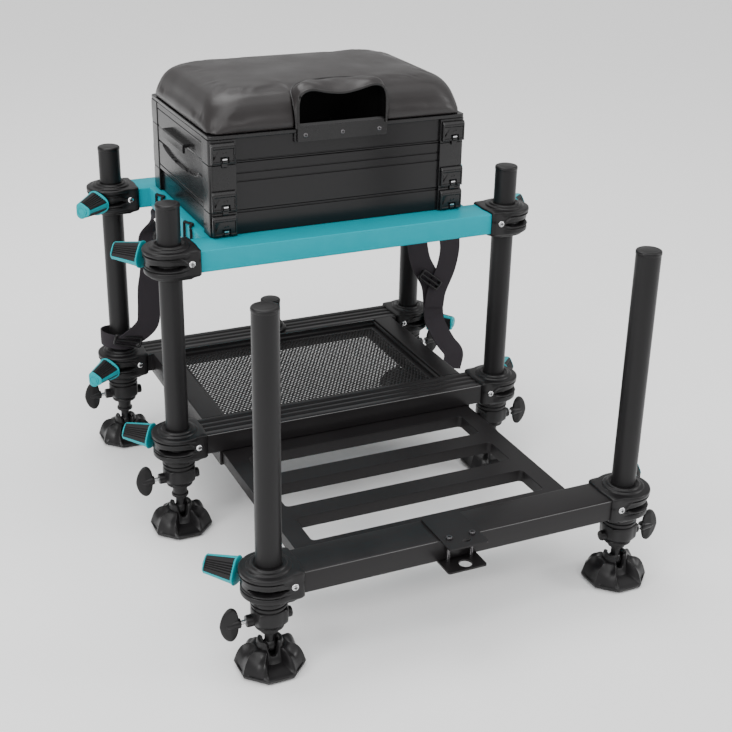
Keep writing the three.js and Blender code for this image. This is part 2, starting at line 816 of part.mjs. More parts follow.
// Two plates clamped over the front bar by a pair of screws
function bracketSolid() {
  const halfX = bracketWidth / 2;
  const rear = -footplateReach + barWidth / 2;
  const front = -footplateReach - barWidth / 2 - bracketOverhang;
  const holeY = front + bracketHoleInset;
  const screwY = -footplateReach - barWidth / 2 - bracketScrewHeadRadius - seatGap;
  const screwX = bracketScrewSpan / 2;
  const topZ = footplateBarHeight + barThick + seatGap;
  const lowZ = footplateBarHeight - seatGap - bracketPlate;
  const upper = block(-halfX, halfX, front, rear, topZ, topZ + bracketPlate);
  const lower = block(-halfX, halfX, front, rear, lowZ, lowZ + bracketPlate);
  const ovalShape = roundRect(bracketSlotLength, bracketSlotRadius, bracketSlotRadius - seatGap);
  const oval = extruded(ovalShape, bracketPlate + 2 * cutOverrun, 3);
  oval.translate(0, holeY, topZ - cutOverrun);
  const round = drum(bracketHoleRadius, lowZ - cutOverrun, lowZ + bracketPlate + cutOverrun, 16);
  round.translate(0, holeY, 0);
  const plates = cutBy(joined(upper, lower), solid(oval), solid(round));
  const headTop = topZ + bracketPlate - overlap;
  const screws = [-screwX, screwX].map((x) => {
    const screw = turned([
      [0, lowZ - bracketScrewHead],
      [bracketScrewRadius, lowZ - bracketScrewHead],
      [bracketScrewRadius, headTop],
      [bracketScrewHeadRadius, headTop],
      [bracketScrewHeadRadius, headTop + bracketScrewHead],
      [0, headTop + bracketScrewHead],
    ], 8);
    screw.translate(x, screwY, 0);
    return solid(screw);
  });
  return joined(plates, ...screws).translate([-bracketOffset, 0, 0]);
}

// Tackle box heights, from the top of the upper frame
const boxCentreY = legSpanY / 2;
const baseBottom = upperFrameHeight + barThick + seatGap;
const middleBottom = baseBottom + baseHeight + seatGap;
const topBottom = middleBottom + middleHeight + seatGap;
const lidBottom = topBottom + topHeight + seatGap;
const panelHalfX = boxHalfX - panelInset;
const panelHalfY = boxHalfY - panelInset;

// Outer form of a module: panels set back between four corner mouldings
function moduleShell(z0, height) {
  const z1 = z0 + height;
  const core = block(-panelHalfX, panelHalfX, -panelHalfY, panelHalfY, z0, z1);
  const corners = [];
  [-1, 1].forEach((sx) => [-1, 1].forEach((sy) => {
    const [xa, xb] = [sx * boxHalfX, sx * (boxHalfX - cornerWidth)];
    const [ya, yb] = [sy * boxHalfY, sy * (boxHalfY - cornerDepth)];
    corners.push(block(Math.min(xa, xb), Math.max(xa, xb), Math.min(ya, yb), Math.max(ya, yb), z0, z1));
  }));
  return joined(core, ...corners);
}

// Grooves along the front, rear and right-hand panels
function panelGrooves(z) {
  const halfX = boxHalfX - cornerWidth;
  const halfY = boxHalfY - cornerDepth;
  const [z0, z1] = [z, z + panelGrooveHeight];
  const inner = panelHalfY - panelGrooveDepth;
  const innerX = panelHalfX - panelGrooveDepth;
  return [
    block(-halfX, halfX, -boxHalfY, -inner, z0, z1),
    block(-halfX, halfX, inner, boxHalfY, z0, z1),
    block(innerX, boxHalfX, -halfY, halfY, z0, z1),
  ];
}

function cavity(z0, z1) {
  const [halfX, halfY] = [panelHalfX - boxWall, panelHalfY - boxWall];
  return block(-halfX, halfX, -halfY, halfY, z0, z1);
}

// Opening in the left-hand wall for a drawer, with the room behind it
function drawerBay(z0, height) {
  const clear = drawerHalfY + slideGap;
  return block(-boxHalfX - cutOverrun, panelHalfX - boxWall, -clear, clear, z0 - slideGap, z0 + height + slideGap);
}

function baseModule() {
  const floor = baseBottom + boxFloor;
  return cutBy(moduleShell(baseBottom, baseHeight), cavity(floor, baseBottom + baseHeight + cutOverrun));
}

const lowerDrawerZ = middleBottom + lowerDrawerRise;
const upperDrawerZ = topBottom + upperDrawerRise;

function middleModule() {
  const trayFloor = lowerDrawerZ + lowerDrawerHeight + slideGap + boxFloor;
  const groove = middleBottom + middleHeight / 2 + 2 * panelGrooveHeight;
  return cutBy(
    moduleShell(middleBottom, middleHeight),
    drawerBay(lowerDrawerZ, lowerDrawerHeight),
    cavity(trayFloor, middleBottom + middleHeight + cutOverrun),
    ...panelGrooves(groove),
    ...panelGrooves(groove + 2 * panelGrooveHeight),
  );
}

function hingeLine() {
  return { y: boxHalfY + hingeRadius + seatGap, z: lidBottom };
}

// Knuckle of the rear hinge at x0 with a leaf that reaches the part carrying it
function hingeKnuckleSolid(x0, leafBottom, leafTop) {
  const { y, z } = hingeLine();
  const barrel = rodX(hingeRadius, x0, x0 + hingeKnuckle, 8);
  barrel.translate(0, y, z);
  const leaf = block(x0, x0 + hingeKnuckle, boxHalfY - hingeLeaf, y, leafBottom, leafTop);
  return joined(solid(barrel), leaf);
}

function topModule() {
  const trayFloor = upperDrawerZ + upperDrawerHeight + slideGap + boxFloor;
  const z1 = topBottom + topHeight;
  const { y } = hingeLine();
  const room = (x0) => block(
    x0 - seatGap, x0 + hingeKnuckle + seatGap, boxHalfY - 2 * hingeLeaf, y + 2 * hingeRadius,
    z1 - hingeRadius - seatGap, lidBottom + hingeRadius,
  );
  const shell = joined(
    moduleShell(topBottom, topHeight),
    block(-hingeSpreadX - hingeKnuckle, hingeSpreadX + hingeKnuckle, panelHalfY, boxHalfY, topBottom, z1),
  );
  const carved = cutBy(
    shell,
    drawerBay(upperDrawerZ, upperDrawerHeight),
    cavity(trayFloor, z1 + cutOverrun),
    room(-hingeSpreadX),
    room(hingeSpreadX - hingeKnuckle),
  );
  const leafBottom = z1 - hingeRadius - hingeLeaf;
  return joined(
    carved,
    hingeKnuckleSolid(-hingeSpreadX - hingeKnuckle - seatGap, leafBottom, z1),
    hingeKnuckleSolid(hingeSpreadX + seatGap, leafBottom, z1),
  );
}

// Drawer: an open tray behind a front panel, sliding out to the left
function drawerSolid(z0, height, frontZ0, frontZ1) {
  const xFront = -panelHalfX - seatGap;
  const tray = block(xFront, xFront + drawerLength, -drawerHalfY, drawerHalfY, z0, z0 + height);
  const hollow = block(
    xFront + drawerWall, xFront + drawerLength - drawerWall,
    -drawerHalfY + drawerWall, drawerHalfY - drawerWall,
    z0 + drawerWall, z0 + height + cutOverrun,
  );
  const halfFront = boxHalfY - cornerDepth - seatGap;
  const front = block(xFront - drawerFrontThick, xFront, -halfFront, halfFront, frontZ0, frontZ1);
  return joined(cutBy(tray, hollow), front);
}

function lowerDrawer() {
  const xFront = -panelHalfX - seatGap - drawerFrontThick;
  const top = topBottom - upperFrontDrop - slideGap;
  const body = drawerSolid(lowerDrawerZ, lowerDrawerHeight, lowerDrawerZ, top);
  const recess = block(
    xFront - cutOverrun, xFront + drawerFrontThick / 2, -fingerHalfY, fingerHalfY,
    lowerDrawerZ - cutOverrun, lowerDrawerZ + fingerHeight,
  );
  return cutBy(body, recess);
}

function upperDrawer() {
  const xFront = -panelHalfX - seatGap - drawerFrontThick;
  const frontTop = topBottom + upperFrontRise;
  const body = drawerSolid(upperDrawerZ, upperDrawerHeight, topBottom - upperFrontDrop, frontTop);
  const ledgeTop = frontTop - 2 * pullLip;
  const ledge = block(xFront - pullReach, xFront, -pullHalfY, pullHalfY, ledgeTop - pullThick, ledgeTop);
  const lip = block(
    xFront - pullReach, xFront - pullReach + pullThick, -pullHalfY, pullHalfY,
    ledgeTop - pullLip - pullThick, ledgeTop,
  );
  return joined(body, ledge, lip);
}

// Front latch: a bevelled flap with a tongue that hooks the module below
function latchSolid(z0, tongue) {
  const section = outline([
    [0, 0],
    [latchThick, 0],
    [latchThick, latchHeight - latchBevel],
    [latchThick - latchBevel, latchHeight],
    [0, latchHeight],
  ]);
  const flap = extruded(section, latchWidth);
  flap.rotateX(QUARTER);
  flap.rotateZ(-QUARTER);
  flap.translate(latchWidth / 2, -boxHalfY - seatGap, z0);
  const flapSolid = solid(flap);
  const halfTongue = latchTongueWidth / 2;
  const rearY = -boxHalfY - seatGap;
  const hook = block(-halfTongue, halfTongue, rearY - latchThick / 2, rearY, z0 - tongue, z0 + latchBevel);
  return tongue > 0 ? joined(flapSolid, hook) : flapSolid;
}

const latchX = boxHalfX - cornerWidth / 2;

// Module with fixed catches on its rear corners and, on the lowest one, on its front corners
function withCatches(shell, z0, frontToo) {
  const front = latchSolid(z0 + latchMargin, 0).translate([0, seatGap + overlap, 0]);
  const rear = front.rotate([0, 0, 180]);
  const sides = frontToo ? [front, rear] : [rear];
  return joined(shell, ...sides.flatMap((flap) => [-latchX, latchX].map((x) => flap.translate([x, 0, 0]))));
}

function lidSolid() {
  const board = block(-boxHalfX, boxHalfX, -boxHalfY, boxHalfY, lidBottom, lidBottom + lidThick);
  const leafTop = lidBottom + hingeRadius;
  const { y, z } = hingeLine();
  const clear = (x0) => block(
    x0 - seatGap, x0 + hingeKnuckle + seatGap, boxHalfY - hingeLeaf - seatGap, y + 2 * hingeRadius,
    z - cutOverrun, z + hingeRadius + seatGap,
  );
  const notched = cutBy(board, clear(-hingeSpreadX - hingeKnuckle - seatGap), clear(hingeSpreadX + seatGap));
  const skirtHalf = hoodHalfWidth + skirtMargin;
  const skirtFront = -boxHalfY;
  const skirt = block(
    -skirtHalf, skirtHalf, skirtFront, skirtFront + skirtThick, lidBottom - skirtDrop, lidBottom + overlap,
  );
  return joined(
    notched,
    skirt,
    hingeKnuckleSolid(-hingeSpreadX, lidBottom, leafTop),
    hingeKnuckleSolid(hingeSpreadX - hingeKnuckle, lidBottom, leafTop),
  );
}

// Cushion: rings of a rounded rectangle that draw in and grow rounder towards a crowned top
const cushionBottom = lidBottom + lidThick + seatGap;
const cushionLevelShares = [0, 0.09, 0.3, 0.6, 0.82, 0.95, 1];
const cushionDrawShares = [0, -0.04, 0.06, 0.3, 0.6, 0.85, 1.25];
const cornerSteps = 5;

function cushionRing(draw, height) {
  const halfX = cushionHalfX - cushionSlope * draw;
  const halfY = cushionHalfY - cushionSlope * draw;
  const radius = cushionCorner + (cushionTopCorner - cushionCorner) * Math.max(0, Math.min(1, draw));
  const ring = [];
  const quadrants = [[1, 1], [-1, 1], [-1, -1], [1, -1]];
  quadrants.forEach(([sx, sy], quadrant) => {
    for (let i = 0; i <= cornerSteps; i += 1) {
      const angle = (quadrant + i / cornerSteps) * QUARTER;
      const x = sx * (halfX - radius) + radius * Math.cos(angle);
      const y = sy * (halfY - radius) + radius * Math.sin(angle);
      ring.push(x, y, height);
    }
  });
  return ring;
}

function cushionSolid() {
  const position = [];
  const count = 4 * (cornerSteps + 1);
  const tucked = cushionRing(cushionTuck / cushionSlope, cushionBottom);
  position.push(...tucked);
  cushionLevelShares.forEach((share, i) => {
    const rise = cushionTuckHeight + share * (cushionHeight - cushionTuckHeight);
    position.push(...cushionRing(cushionDrawShares[i], cushionBottom + rise));
  });
  const rings = cushionLevelShares.length + 1;
  const under = position.length / 3;
  position.push(0, 0, cushionBottom, 0, 0, cushionBottom + cushionHeight + cushionCrown);
  const index = [];
  for (let i = 0; i < count; i += 1) {
    const next = (i + 1) % count;
    for (let r = 0; r < rings - 1; r += 1) {
      const low = r * count;
      const high = low + count;
      index.push(low + i, low + next, high + next, low + i, high + next, high + i);
    }
    const top = (rings - 1) * count;
    index.push(under, next, i, under + 1, top + i, top + next);
  }
  const pad = new THREE.BufferGeometry();
  pad.setAttribute('position', new THREE.BufferAttribute(new Float32Array(position), 3));
  pad.setIndex(index);
  const gap = slideGap;
  const notchHalf = hoodHalfWidth + gap;
  const notchBack = -boxHalfY - hoodProud + hoodDepth + gap;
  const notch = block(
    -notchHalf, notchHalf, -2 * boxHalfY, notchBack,
    cushionBottom - cutOverrun, cushionBottom + cushionHeight + cushionCrown + cutOverrun,
  );
  return cutBy(solid(pad), notch);
}

// Grab hood: an arched sheet open to the front, its lip sagging a little in the middle
function archShape(halfX, top, corner, sag) {
  const shape = new THREE.Shape();
  shape.moveTo(-halfX, 0);
  shape.lineTo(halfX, 0);
  shape.lineTo(halfX, top - corner);
  shape.absarc(halfX - corner, top - corner, corner, 0, QUARTER);
  shape.quadraticCurveTo(0, top - 2 * sag, -halfX + corner, top);
  shape.absarc(-halfX + corner, top - corner, corner, QUARTER, 2 * QUARTER);
  return shape;
}

function hoodSolid() {
  const outer = extruded(archShape(hoodHalfWidth, hoodHeight, hoodCorner, hoodSag), hoodDepth, 5);
  const innerShape = archShape(
    hoodHalfWidth - hoodSheet, hoodHeight - hoodSheet, hoodCorner - hoodSheet, hoodSag,
  );
  const inner = extruded(innerShape, hoodDepth + 2 * cutOverrun, 5);
  inner.translate(0, -cutOverrun, -cutOverrun);
  const hood = cutBy(solid(outer), solid(inner));
  const lip = block(-hoodHalfWidth, hoodHalfWidth, 0, hoodSheet / 2, 0, hoodDepth);
  const face = -boxHalfY - seatGap;
  const stripTop = cushionBottom + stripLap;
  const strip = block(
    -hoodHalfWidth, hoodHalfWidth, face - stripSheet, face, stripTop - stripHeight - stripLap, stripTop,
  );
  const placed = joined(hood, lip).rotate([90, 0, 0]);
  return joined(placed.translate([0, -boxHalfY - hoodProud + hoodDepth, cushionBottom]), strip);
}

// Ribbon of webbing along a path, its flat side turning from one direction to another
function ribbon(points, sideFrom, sideTo, width, thick) {
  const curve = new THREE.CatmullRomCurve3(points.map(([x, y, z]) => new THREE.Vector3(x, y, z)));
  const steps = 2 * (points.length - 1);
  const position = [];
  for (let i = 0; i <= steps; i += 1) {
    const place = curve.getPoint(i / steps);
    const ahead = curve.getTangent(i / steps);
    const side = sideFrom.clone().lerp(sideTo, i / steps);
    side.addScaledVector(ahead, -side.dot(ahead)).normalize();
    const normal = new THREE.Vector3().crossVectors(ahead, side).normalize();
    [[-1, -1], [1, -1], [1, 1], [-1, 1]].forEach(([w, t]) => {
      const corner = place.clone().addScaledVector(side, w * width / 2).addScaledVector(normal, t * thick / 2);
      position.push(corner.x, corner.y, corner.z);
    });
  }
  const index = [0, 2, 1, 0, 3, 2];
  for (let i = 0; i < steps; i += 1) {
    for (let k = 0; k < 4; k += 1) {
      const [a, b] = [4 * i + k, 4 * i + (k + 1) % 4];
      index.push(a, b, b + 4, a, b + 4, a + 4);
    }
  }
  const last = 4 * steps;
  index.push(last, last + 1, last + 2, last, last + 2, last + 3);
  const geometry = new THREE.BufferGeometry();
  geometry.setAttribute('position', new THREE.BufferAttribute(new Float32Array(position), 3));
  geometry.setIndex(index);
  return solid(geometry);
}

// Three-bar slide buckle, flat in the XZ plane
function buckleSolid() {
  const frame = block(-buckleWidth / 2, buckleWidth / 2, 0, buckleThick, -buckleLength / 2, buckleLength / 2);
  const inner = buckleWidth / 2 - buckleBar;
  const window1 = block(-inner, inner, -cutOverrun, buckleThick + cutOverrun, buckleBar / 2, buckleLength / 2 - buckleBar / 2);
  const window2 = window1.translate([0, 0, -buckleLength / 2]);
  return cutBy(frame, window1, window2);
}

const railUnderZ = upperFrameHeight - seatGap - strapThick / 2;

// Routes of the two straps, from under the side rails downwards: x, y, z
const leftStrapRoute = [
  [-200, 296, railUnderZ], [-228, 297, 435], [-245, 298, 396], [-246, 299, 340], [-242, 300, 282],
  [-252, 309, 240], [-264, 318.4, 206],
];
const rightStrapRoute = [
  [200, 250, railUnderZ], [226, 250, 434], [246, 250, 392], [252, 250, 343], [262, 250, 299], [293, 250, 251],
  [301, 250, 200], [305, 250, 172], [321, 222, 145], [328, 204, 125], [317, 200, 96],
];
const rightReturnRoute = [
  [200, 205, railUnderZ], [240, 208, 434], [292, 226, 396], [319, 244, 335], [317, 250, 286], [300, 250, 239],
  [300, 250, 206],
];
const acrossX = new THREE.Vector3(1, 0, 0);
const acrossY = new THREE.Vector3(0, 1, 0);

// Loop of webbing round a rear leg above its clamp
function strapLoop(sideX) {
  const base = lowerFrameHeight + barThick + clampDiscRise + 2 * clampStep + strapLoopLift;
  const ring = solid(turned([
    [strapLoopRadius, base],
    [strapLoopRadius + strapThick, base],
    [strapLoopRadius + strapThick, base + strapLoopHeight],
    [strapLoopRadius, base + strapLoopHeight],
    [strapLoopRadius, base],
  ], 16));
  return ring.translate([sideX * legSpanX / 2, legSpanY, 0]);
}

// Shock cord: each end hangs over the left rail with a toggle and is hooked round it, and the
// stretch between the hooks runs under the rail
function shockCordSolid() {
  const ledgeZ = upperFrameHeight + barThick + seatGap + cordRadius;
  const underZ = upperFrameHeight - seatGap - cordRadius;
  const ledgeX = -(boxHalfX + upperRailOuterX) / 2;
  const underX = -upperRailOuterX + barThick / 2;
  const outerX = -upperRailOuterX - seatGap - cordRadius;
  const y0 = elasticY - elasticSpan;
  const turn = 2 * cordRadius;
  const hang = [barThick / 3, barThick, 2 * barThick];
  const end = (y, way) => [
    [outerX - cordRadius, y, ledgeZ - hang[2]],
    [outerX - cordRadius / 2, y, ledgeZ - hang[1]],
    [outerX - seatGap, y, ledgeZ - hang[0]],
    [outerX - seatGap, y + way * turn / 2, ledgeZ],
    [outerX + cordRadius, y + 2 * way * turn, ledgeZ + 2 * seatGap],
    [ledgeX, y + 4 * way * turn, ledgeZ],
    [outerX + cordRadius, y + 6 * way * turn, ledgeZ + 2 * seatGap],
    [outerX - seatGap, y + 7.5 * way * turn, ledgeZ],
    [outerX - seatGap, y + 8 * way * turn, ledgeZ - hang[0]],
    [outerX - seatGap, y + 8 * way * turn, underZ],
    [outerX + cordRadius, y + 8 * way * turn, underZ - 2 * seatGap],
    [ledgeX, y + 9 * way * turn, underZ],
    [underX, y + 12 * way * turn, underZ],
  ];
  const route = [...end(y0, 1), ...end(elasticY, -1).reverse()];
  const path = new THREE.CatmullRomCurve3(route.map(([x, y, z]) => new THREE.Vector3(x, y, z)));
  const section = [];
  for (let i = 0; i < 5; i += 1) {
    const angle = (i / 5) * 2 * Math.PI;
    section.push([cordRadius * Math.cos(angle), cordRadius * Math.sin(angle)]);
  }
  const cord = new THREE.ExtrudeGeometry(outline(section), { steps: 68, bevelEnabled: false, extrudePath: path });
  const toggles = [y0, elasticY].map((y) => {
    const toggle = drum(toggleRadius, -toggleLength, 0, 8);
    toggle.translate(outerX - toggleRadius / 2 - cordRadius, y, ledgeZ - hang[2] + toggleLength / 4);
    return solid(toggle);
  });
  return joined(solid(cord), ...toggles);
}

// Assembly, with the origin under the middle of the ground plan
const object = new THREE.Group();
const frontReach = footplateReach + barWidth / 2 + bracketOverhang;
const rearReach = legSpanY + footRadius * Math.cos(Math.PI / 8);
object.position.y = (frontReach - rearReach) / 2;

const upperFrame = part('upper_frame', ladderFrame(0, upperRailOuterX), finishes.tealPaint);
upperFrame.position.z = upperFrameHeight;
const lowerLadder = ladderFrame(ribCount, lowerRailOuterX).translate([0, 0, lowerFrameHeight]);
const lowerFrame = part(
  'lower_frame',
  withClamps(joined(lowerLadder, guideSolid()), mainLegs, legSpanX, lowerFrameHeight),
  finishes.blackAnodised,
);
const footplateBar = part(
  'footplate_front_bar',
  withClamps(
    barAlongX(barWidth, barThick, footplateSpanX / 2 - barSocketStart - seatGap, 0)
      .translate([0, -footplateReach, footplateBarHeight]),
    footplateLegs, footplateSpanX, footplateBarHeight,
  ),
  finishes.blackAnodised,
);
object.add(upperFrame, lowerFrame, footplateBar);

mainLegs.forEach((leg) => {
  const clamp = placedClamp(leg, legSpanX, upperFrameHeight, seatGap);
  object.add(part(`upper_clamp_${leg.name}`, clamp, finishes.blackNylon));
  object.add(clampKnob('upper', leg, legSpanX, upperFrameHeight));
  object.add(clampKnob('lower', leg, legSpanX, lowerFrameHeight));
  object.add(legGroup(leg, legSpanX, lowerFrameHeight, legTopHeight));
});
footplateLegs.forEach((leg) => {
  object.add(clampKnob('clamp', leg, footplateSpanX, footplateBarHeight));
  object.add(legGroup(leg, footplateSpanX, footplateBarHeight, footplateLegTopHeight));
});

object.add(part('mesh_tray', traySolid(), finishes.blackAnodised));
object.add(part('rear_post', rearPostSolid(), finishes.blackAnodised));
object.add(part('footplate_deck', deckSolid(), finishes.blackAnodised));
object.add(part('accessory_bracket', bracketSolid(), finishes.blackAnodised));

const tackleBox = new THREE.Group();
tackleBox.position.y = boxCentreY;
tackleBox.add(part('box_base_module', withCatches(baseModule(), baseBottom, true), finishes.boxPanel));
tackleBox.add(part('box_middle_module', withCatches(middleModule(), middleBottom, false), finishes.boxPanel));
tackleBox.add(part('box_top_module', withCatches(topModule(), topBottom, false), finishes.boxPanel));
tackleBox.add(part('side_drawer_lower', lowerDrawer(), finishes.boxPanel));
tackleBox.add(part('side_drawer_upper', upperDrawer(), finishes.boxPanel));
[['middle', middleBottom], ['top', topBottom]].forEach(([level, z0]) => {
  [['left', -latchX], ['right', latchX]].forEach(([side, x]) => {
    const latch = latchSolid(z0 + latchMargin, latchTongueDrop).translate([x, 0, 0]);
    tackleBox.add(part(`latch_${level}_${side}`, latch, finishes.glossBlack));
  });
});
tackleBox.add(part('seat_lid', lidSolid(), finishes.glossBlack));
tackleBox.add(part('seat_cushion', cushionSolid(), finishes.leather));
tackleBox.add(part('grab_hood', hoodSolid(), finishes.leather));
object.add(tackleBox);

const buckleAt = ([x, y, z]) => buckleSolid().translate([x, y - buckleThick / 2, z]);
object.add(part('strap_left', joined(
  ribbon(leftStrapRoute, acrossY, acrossX, strapWidth, strapThick),
  buckleAt(leftStrapRoute[5]),
  strapLoop(-1),
), finishes.webbing));
object.add(part('strap_right', joined(
  ribbon(rightStrapRoute, acrossY, acrossX, strapWidth, strapThick),
  ribbon(rightReturnRoute, acrossY, acrossX, strapWidth, strapThick),
  buckleAt(rightStrapRoute[6]),
), finishes.webbing));
object.add(part('shock_cord', shockCordSolid(), finishes.webbing));

export default object;
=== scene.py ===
"""Fishing seat box on clamped tube legs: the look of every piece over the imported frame.

Sizes are in millimetres of the building frame: X along the bars, Y from the front legs to the
rear ones, Z up from the ground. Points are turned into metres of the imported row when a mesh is
made.
"""

import logging
import math
from collections.abc import Callable
from dataclasses import dataclass, field
from enum import Enum

import bpy
import numpy as np
from mathutils import Matrix, Vector


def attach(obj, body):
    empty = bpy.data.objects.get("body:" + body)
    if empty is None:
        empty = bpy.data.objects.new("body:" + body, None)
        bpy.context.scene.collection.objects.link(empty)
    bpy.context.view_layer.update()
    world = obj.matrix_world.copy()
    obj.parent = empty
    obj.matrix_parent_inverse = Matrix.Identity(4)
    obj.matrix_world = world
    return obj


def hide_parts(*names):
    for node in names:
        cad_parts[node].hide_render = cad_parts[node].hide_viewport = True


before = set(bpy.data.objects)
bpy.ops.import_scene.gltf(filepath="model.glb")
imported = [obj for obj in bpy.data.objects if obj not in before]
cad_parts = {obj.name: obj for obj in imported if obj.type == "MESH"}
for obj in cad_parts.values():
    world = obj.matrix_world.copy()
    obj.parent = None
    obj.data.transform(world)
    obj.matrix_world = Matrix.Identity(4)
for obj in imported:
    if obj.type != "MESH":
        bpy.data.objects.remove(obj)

log = logging.getLogger("seat_box")

TAU = 2 * math.pi
PLAN_SHIFT = 37.403  # model.glb has the part centred on the ground, which moves it along Y
LEG_X, REAR_Y = 285.0, 340.0  # axes of the main legs; the front ones stand at y = 0
STEP_X, STEP_Y = 282.0, -400.0  # axes of the footplate's legs
UPPER_BAR, LOWER_BAR, STEP_BAR = 443.0, 138.0, 125.0  # undersides of the bars
BOX_Y = 170.0  # middle of the box

TO_FRONT = np.array([[1, 0, 0], [0, 0, -1], [0, 1, 0]], float)  # +Z goes to -Y
TO_RIGHT = np.array([[0, 0, 1], [0, 1, 0], [-1, 0, 0]], float)  # +Z goes to +X
HALF_TURN = np.diag([-1.0, -1.0, 1.0])
MIRROR_X = np.diag([-1.0, 1.0, 1.0])


# Surfaces


@dataclass
class Shell:
    """A surface as arrays: points (n, 3) in millimetres, and faces of four and three corners."""

    points: np.ndarray
    quads: np.ndarray
    tris: np.ndarray = field(default_factory=lambda: np.zeros((0, 3), int))

    def moved(self, x: float = 0.0, y: float = 0.0, z: float = 0.0) -> "Shell":
        """The shell moved by (x, y, z)."""
        return Shell(self.points + np.array([x, y, z]), self.quads, self.tris)

    def turned(self, matrix: np.ndarray) -> "Shell":
        """The shell turned by a 3 x 3 matrix: each point p goes to matrix p.

        Args:
            matrix: The turn, or a mirror, which also turns each face round.

        Returns:
            The turned shell.
        """
        quads, tris = self.quads, self.tris
        if np.linalg.det(matrix) < 0:
            quads, tris = quads[:, ::-1], tris[:, ::-1]
        return Shell(self.points @ matrix.T, quads, tris)

    def mirrored(self) -> "Shell":
        """The shell mirrored in X."""
        return self.turned(MIRROR_X)


def joined(*shells: Shell) -> Shell:
    """Several shells as one: their arrays one after the other, face numbers shifted.

    Args:
        shells: The shells to put together.

    Returns:
        One shell that holds them all.
    """
    starts = np.cumsum([0] + [len(s.points) for s in shells[:-1]])
    return Shell(
        np.concatenate([s.points for s in shells]),
        np.concatenate([s.quads + k for s, k in zip(shells, starts)]).astype(int),
        np.concatenate([s.tris + k for s, k in zip(shells, starts)]).astype(int),
    )


def loft(
    rings: np.ndarray, ends: bool = True, ring_closed: bool = True, loop: bool = False
) -> Shell:
    """Surface through rings of points: face (i, j) joins ring i to i + 1 at places j and j + 1.

    Args:
        rings: Array (rows, places, 3).
        ends: Closes the first and last ring with a fan to its middle point.
        ring_closed: Joins the last place of a ring to its first.
        loop: Joins the last ring to the first.

    Returns:
        The lofted shell.
    """
    rows, cols, _ = rings.shape
    i = np.arange(rows if loop else rows - 1)[:, None] * cols
    j = np.arange(cols if ring_closed else cols - 1)[None, :]
    up, on = (i + cols) % (rows * cols), (j + 1) % cols
    quads = np.stack([i + j, i + on, up + on, up + j], axis=-1).reshape(-1, 4)
    shell = Shell(rings.reshape(-1, 3), quads)
    if ends:
        k, last, first_middle = np.arange(cols), (rows - 1) * cols, rows * cols
        ahead = (k + 1) % cols
        bottom = np.stack([ahead, k, np.full(cols, first_middle)], axis=-1)
        top = np.stack([last + k, last + ahead, np.full(cols, first_middle + 1)], axis=-1)
        shell.tris = np.concatenate([bottom, top])
        shell.points = np.concatenate([shell.points, rings[[0, -1]].mean(1)])
    return shell


def angles(sides: int, start: float = 0.0) -> np.ndarray:
    """Angles of a full turn in equal steps: start + 2 pi k / sides."""
    return start + np.arange(sides) * TAU / sides


def about_z(radius: np.ndarray, height: np.ndarray, a: np.ndarray) -> np.ndarray:
    """Rings about Z from arrays (rows, places): place (k, a) is (r cos a, r sin a, z)."""
    x, y = radius * np.cos(a), radius * np.sin(a)
    return np.stack([x, y, np.broadcast_to(height, x.shape)], axis=-1)


def lathe(profile: list, sides: int = 48, loop: bool = False) -> Shell:
    """Pairs (radius, height) turned about Z: place (k, a) is (r_k cos a, r_k sin a, z_k)."""
    p = np.asarray(profile, float)
    return loft(about_z(p[:, :1], p[:, 1:], angles(sides)), ends=not loop, loop=loop)


def spindle(profile: list, sides: int) -> Shell:
    """A body of revolution about X: a lathe laid along +X."""
    return lathe(profile, sides).turned(TO_RIGHT)


def tiers(rows: list) -> np.ndarray:
    """Rings from pairs (outline, height): each outline (n, 2) raised to its height."""
    return np.array([np.column_stack([o, np.full(len(o), z)]) for o, z in rows])


def prism(outline: np.ndarray, start: float, end: float, axis: str = "z") -> Shell:
    """An outline carried straight from start to end along an axis.

    The outline's two columns are (x, y) for z, (y, z) for x and (z, x) for y, so that an
    outline run anticlockwise gives faces that point out.

    Args:
        outline: Array (n, 2) of a shape whose middle sees every corner.
        start: Where it starts.
        end: Where it ends.
        axis: The axis that it runs along.

    Returns:
        The closed shell.
    """
    shell = loft(tiers([(outline, start), (outline, end)]))
    order = {"z": [0, 1, 2], "x": [2, 0, 1], "y": [1, 2, 0]}[axis]
    return Shell(shell.points[:, order], shell.quads, shell.tris)


def slab(x0: float, x1: float, y0: float, y1: float, z0: float, z1: float) -> Shell:
    """A block between two corners, as a square outline carried up."""
    return prism(np.array([[x0, y0], [x1, y0], [x1, y1], [x0, y1]]), z0, z1)


def round_rect(half_x: float, half_y: float, radius: float, steps: int = 6) -> np.ndarray:
    """Rectangle with round corners: each corner's arc is centre + radius (cos a, sin a).

    Args:
        half_x: Half its width.
        half_y: Half its depth.
        radius: Radius of the corners.
        steps: Steps round each corner.

    Returns:
        Array (4 steps + 4, 2), anticlockwise.
    """
    quarter = np.linspace(0, math.pi / 2, steps + 1)
    a = (quarter[None] + np.arange(4)[:, None] * math.pi / 2).ravel()
    x = np.repeat([1, -1, -1, 1], steps + 1) * (half_x - radius)
    y = np.repeat([1, 1, -1, -1], steps + 1) * (half_y - radius)
    return np.column_stack([x + radius * np.cos(a), y + radius * np.sin(a)])


def smooth_step(x: np.ndarray, low: float, high: float) -> np.ndarray:
    """0 below low, 1 above high and 3 t^2 - 2 t^3 between them, t running from 0 to 1."""
    t = np.clip((x - low) / (high - low), 0, 1)
    return t * t * (3 - 2 * t)


def run_length(path: np.ndarray) -> np.ndarray:
    """Distance along a path at each of its places, from 0."""
    return np.concatenate([[0], np.cumsum(np.linalg.norm(np.diff(path, axis=0), axis=1))])


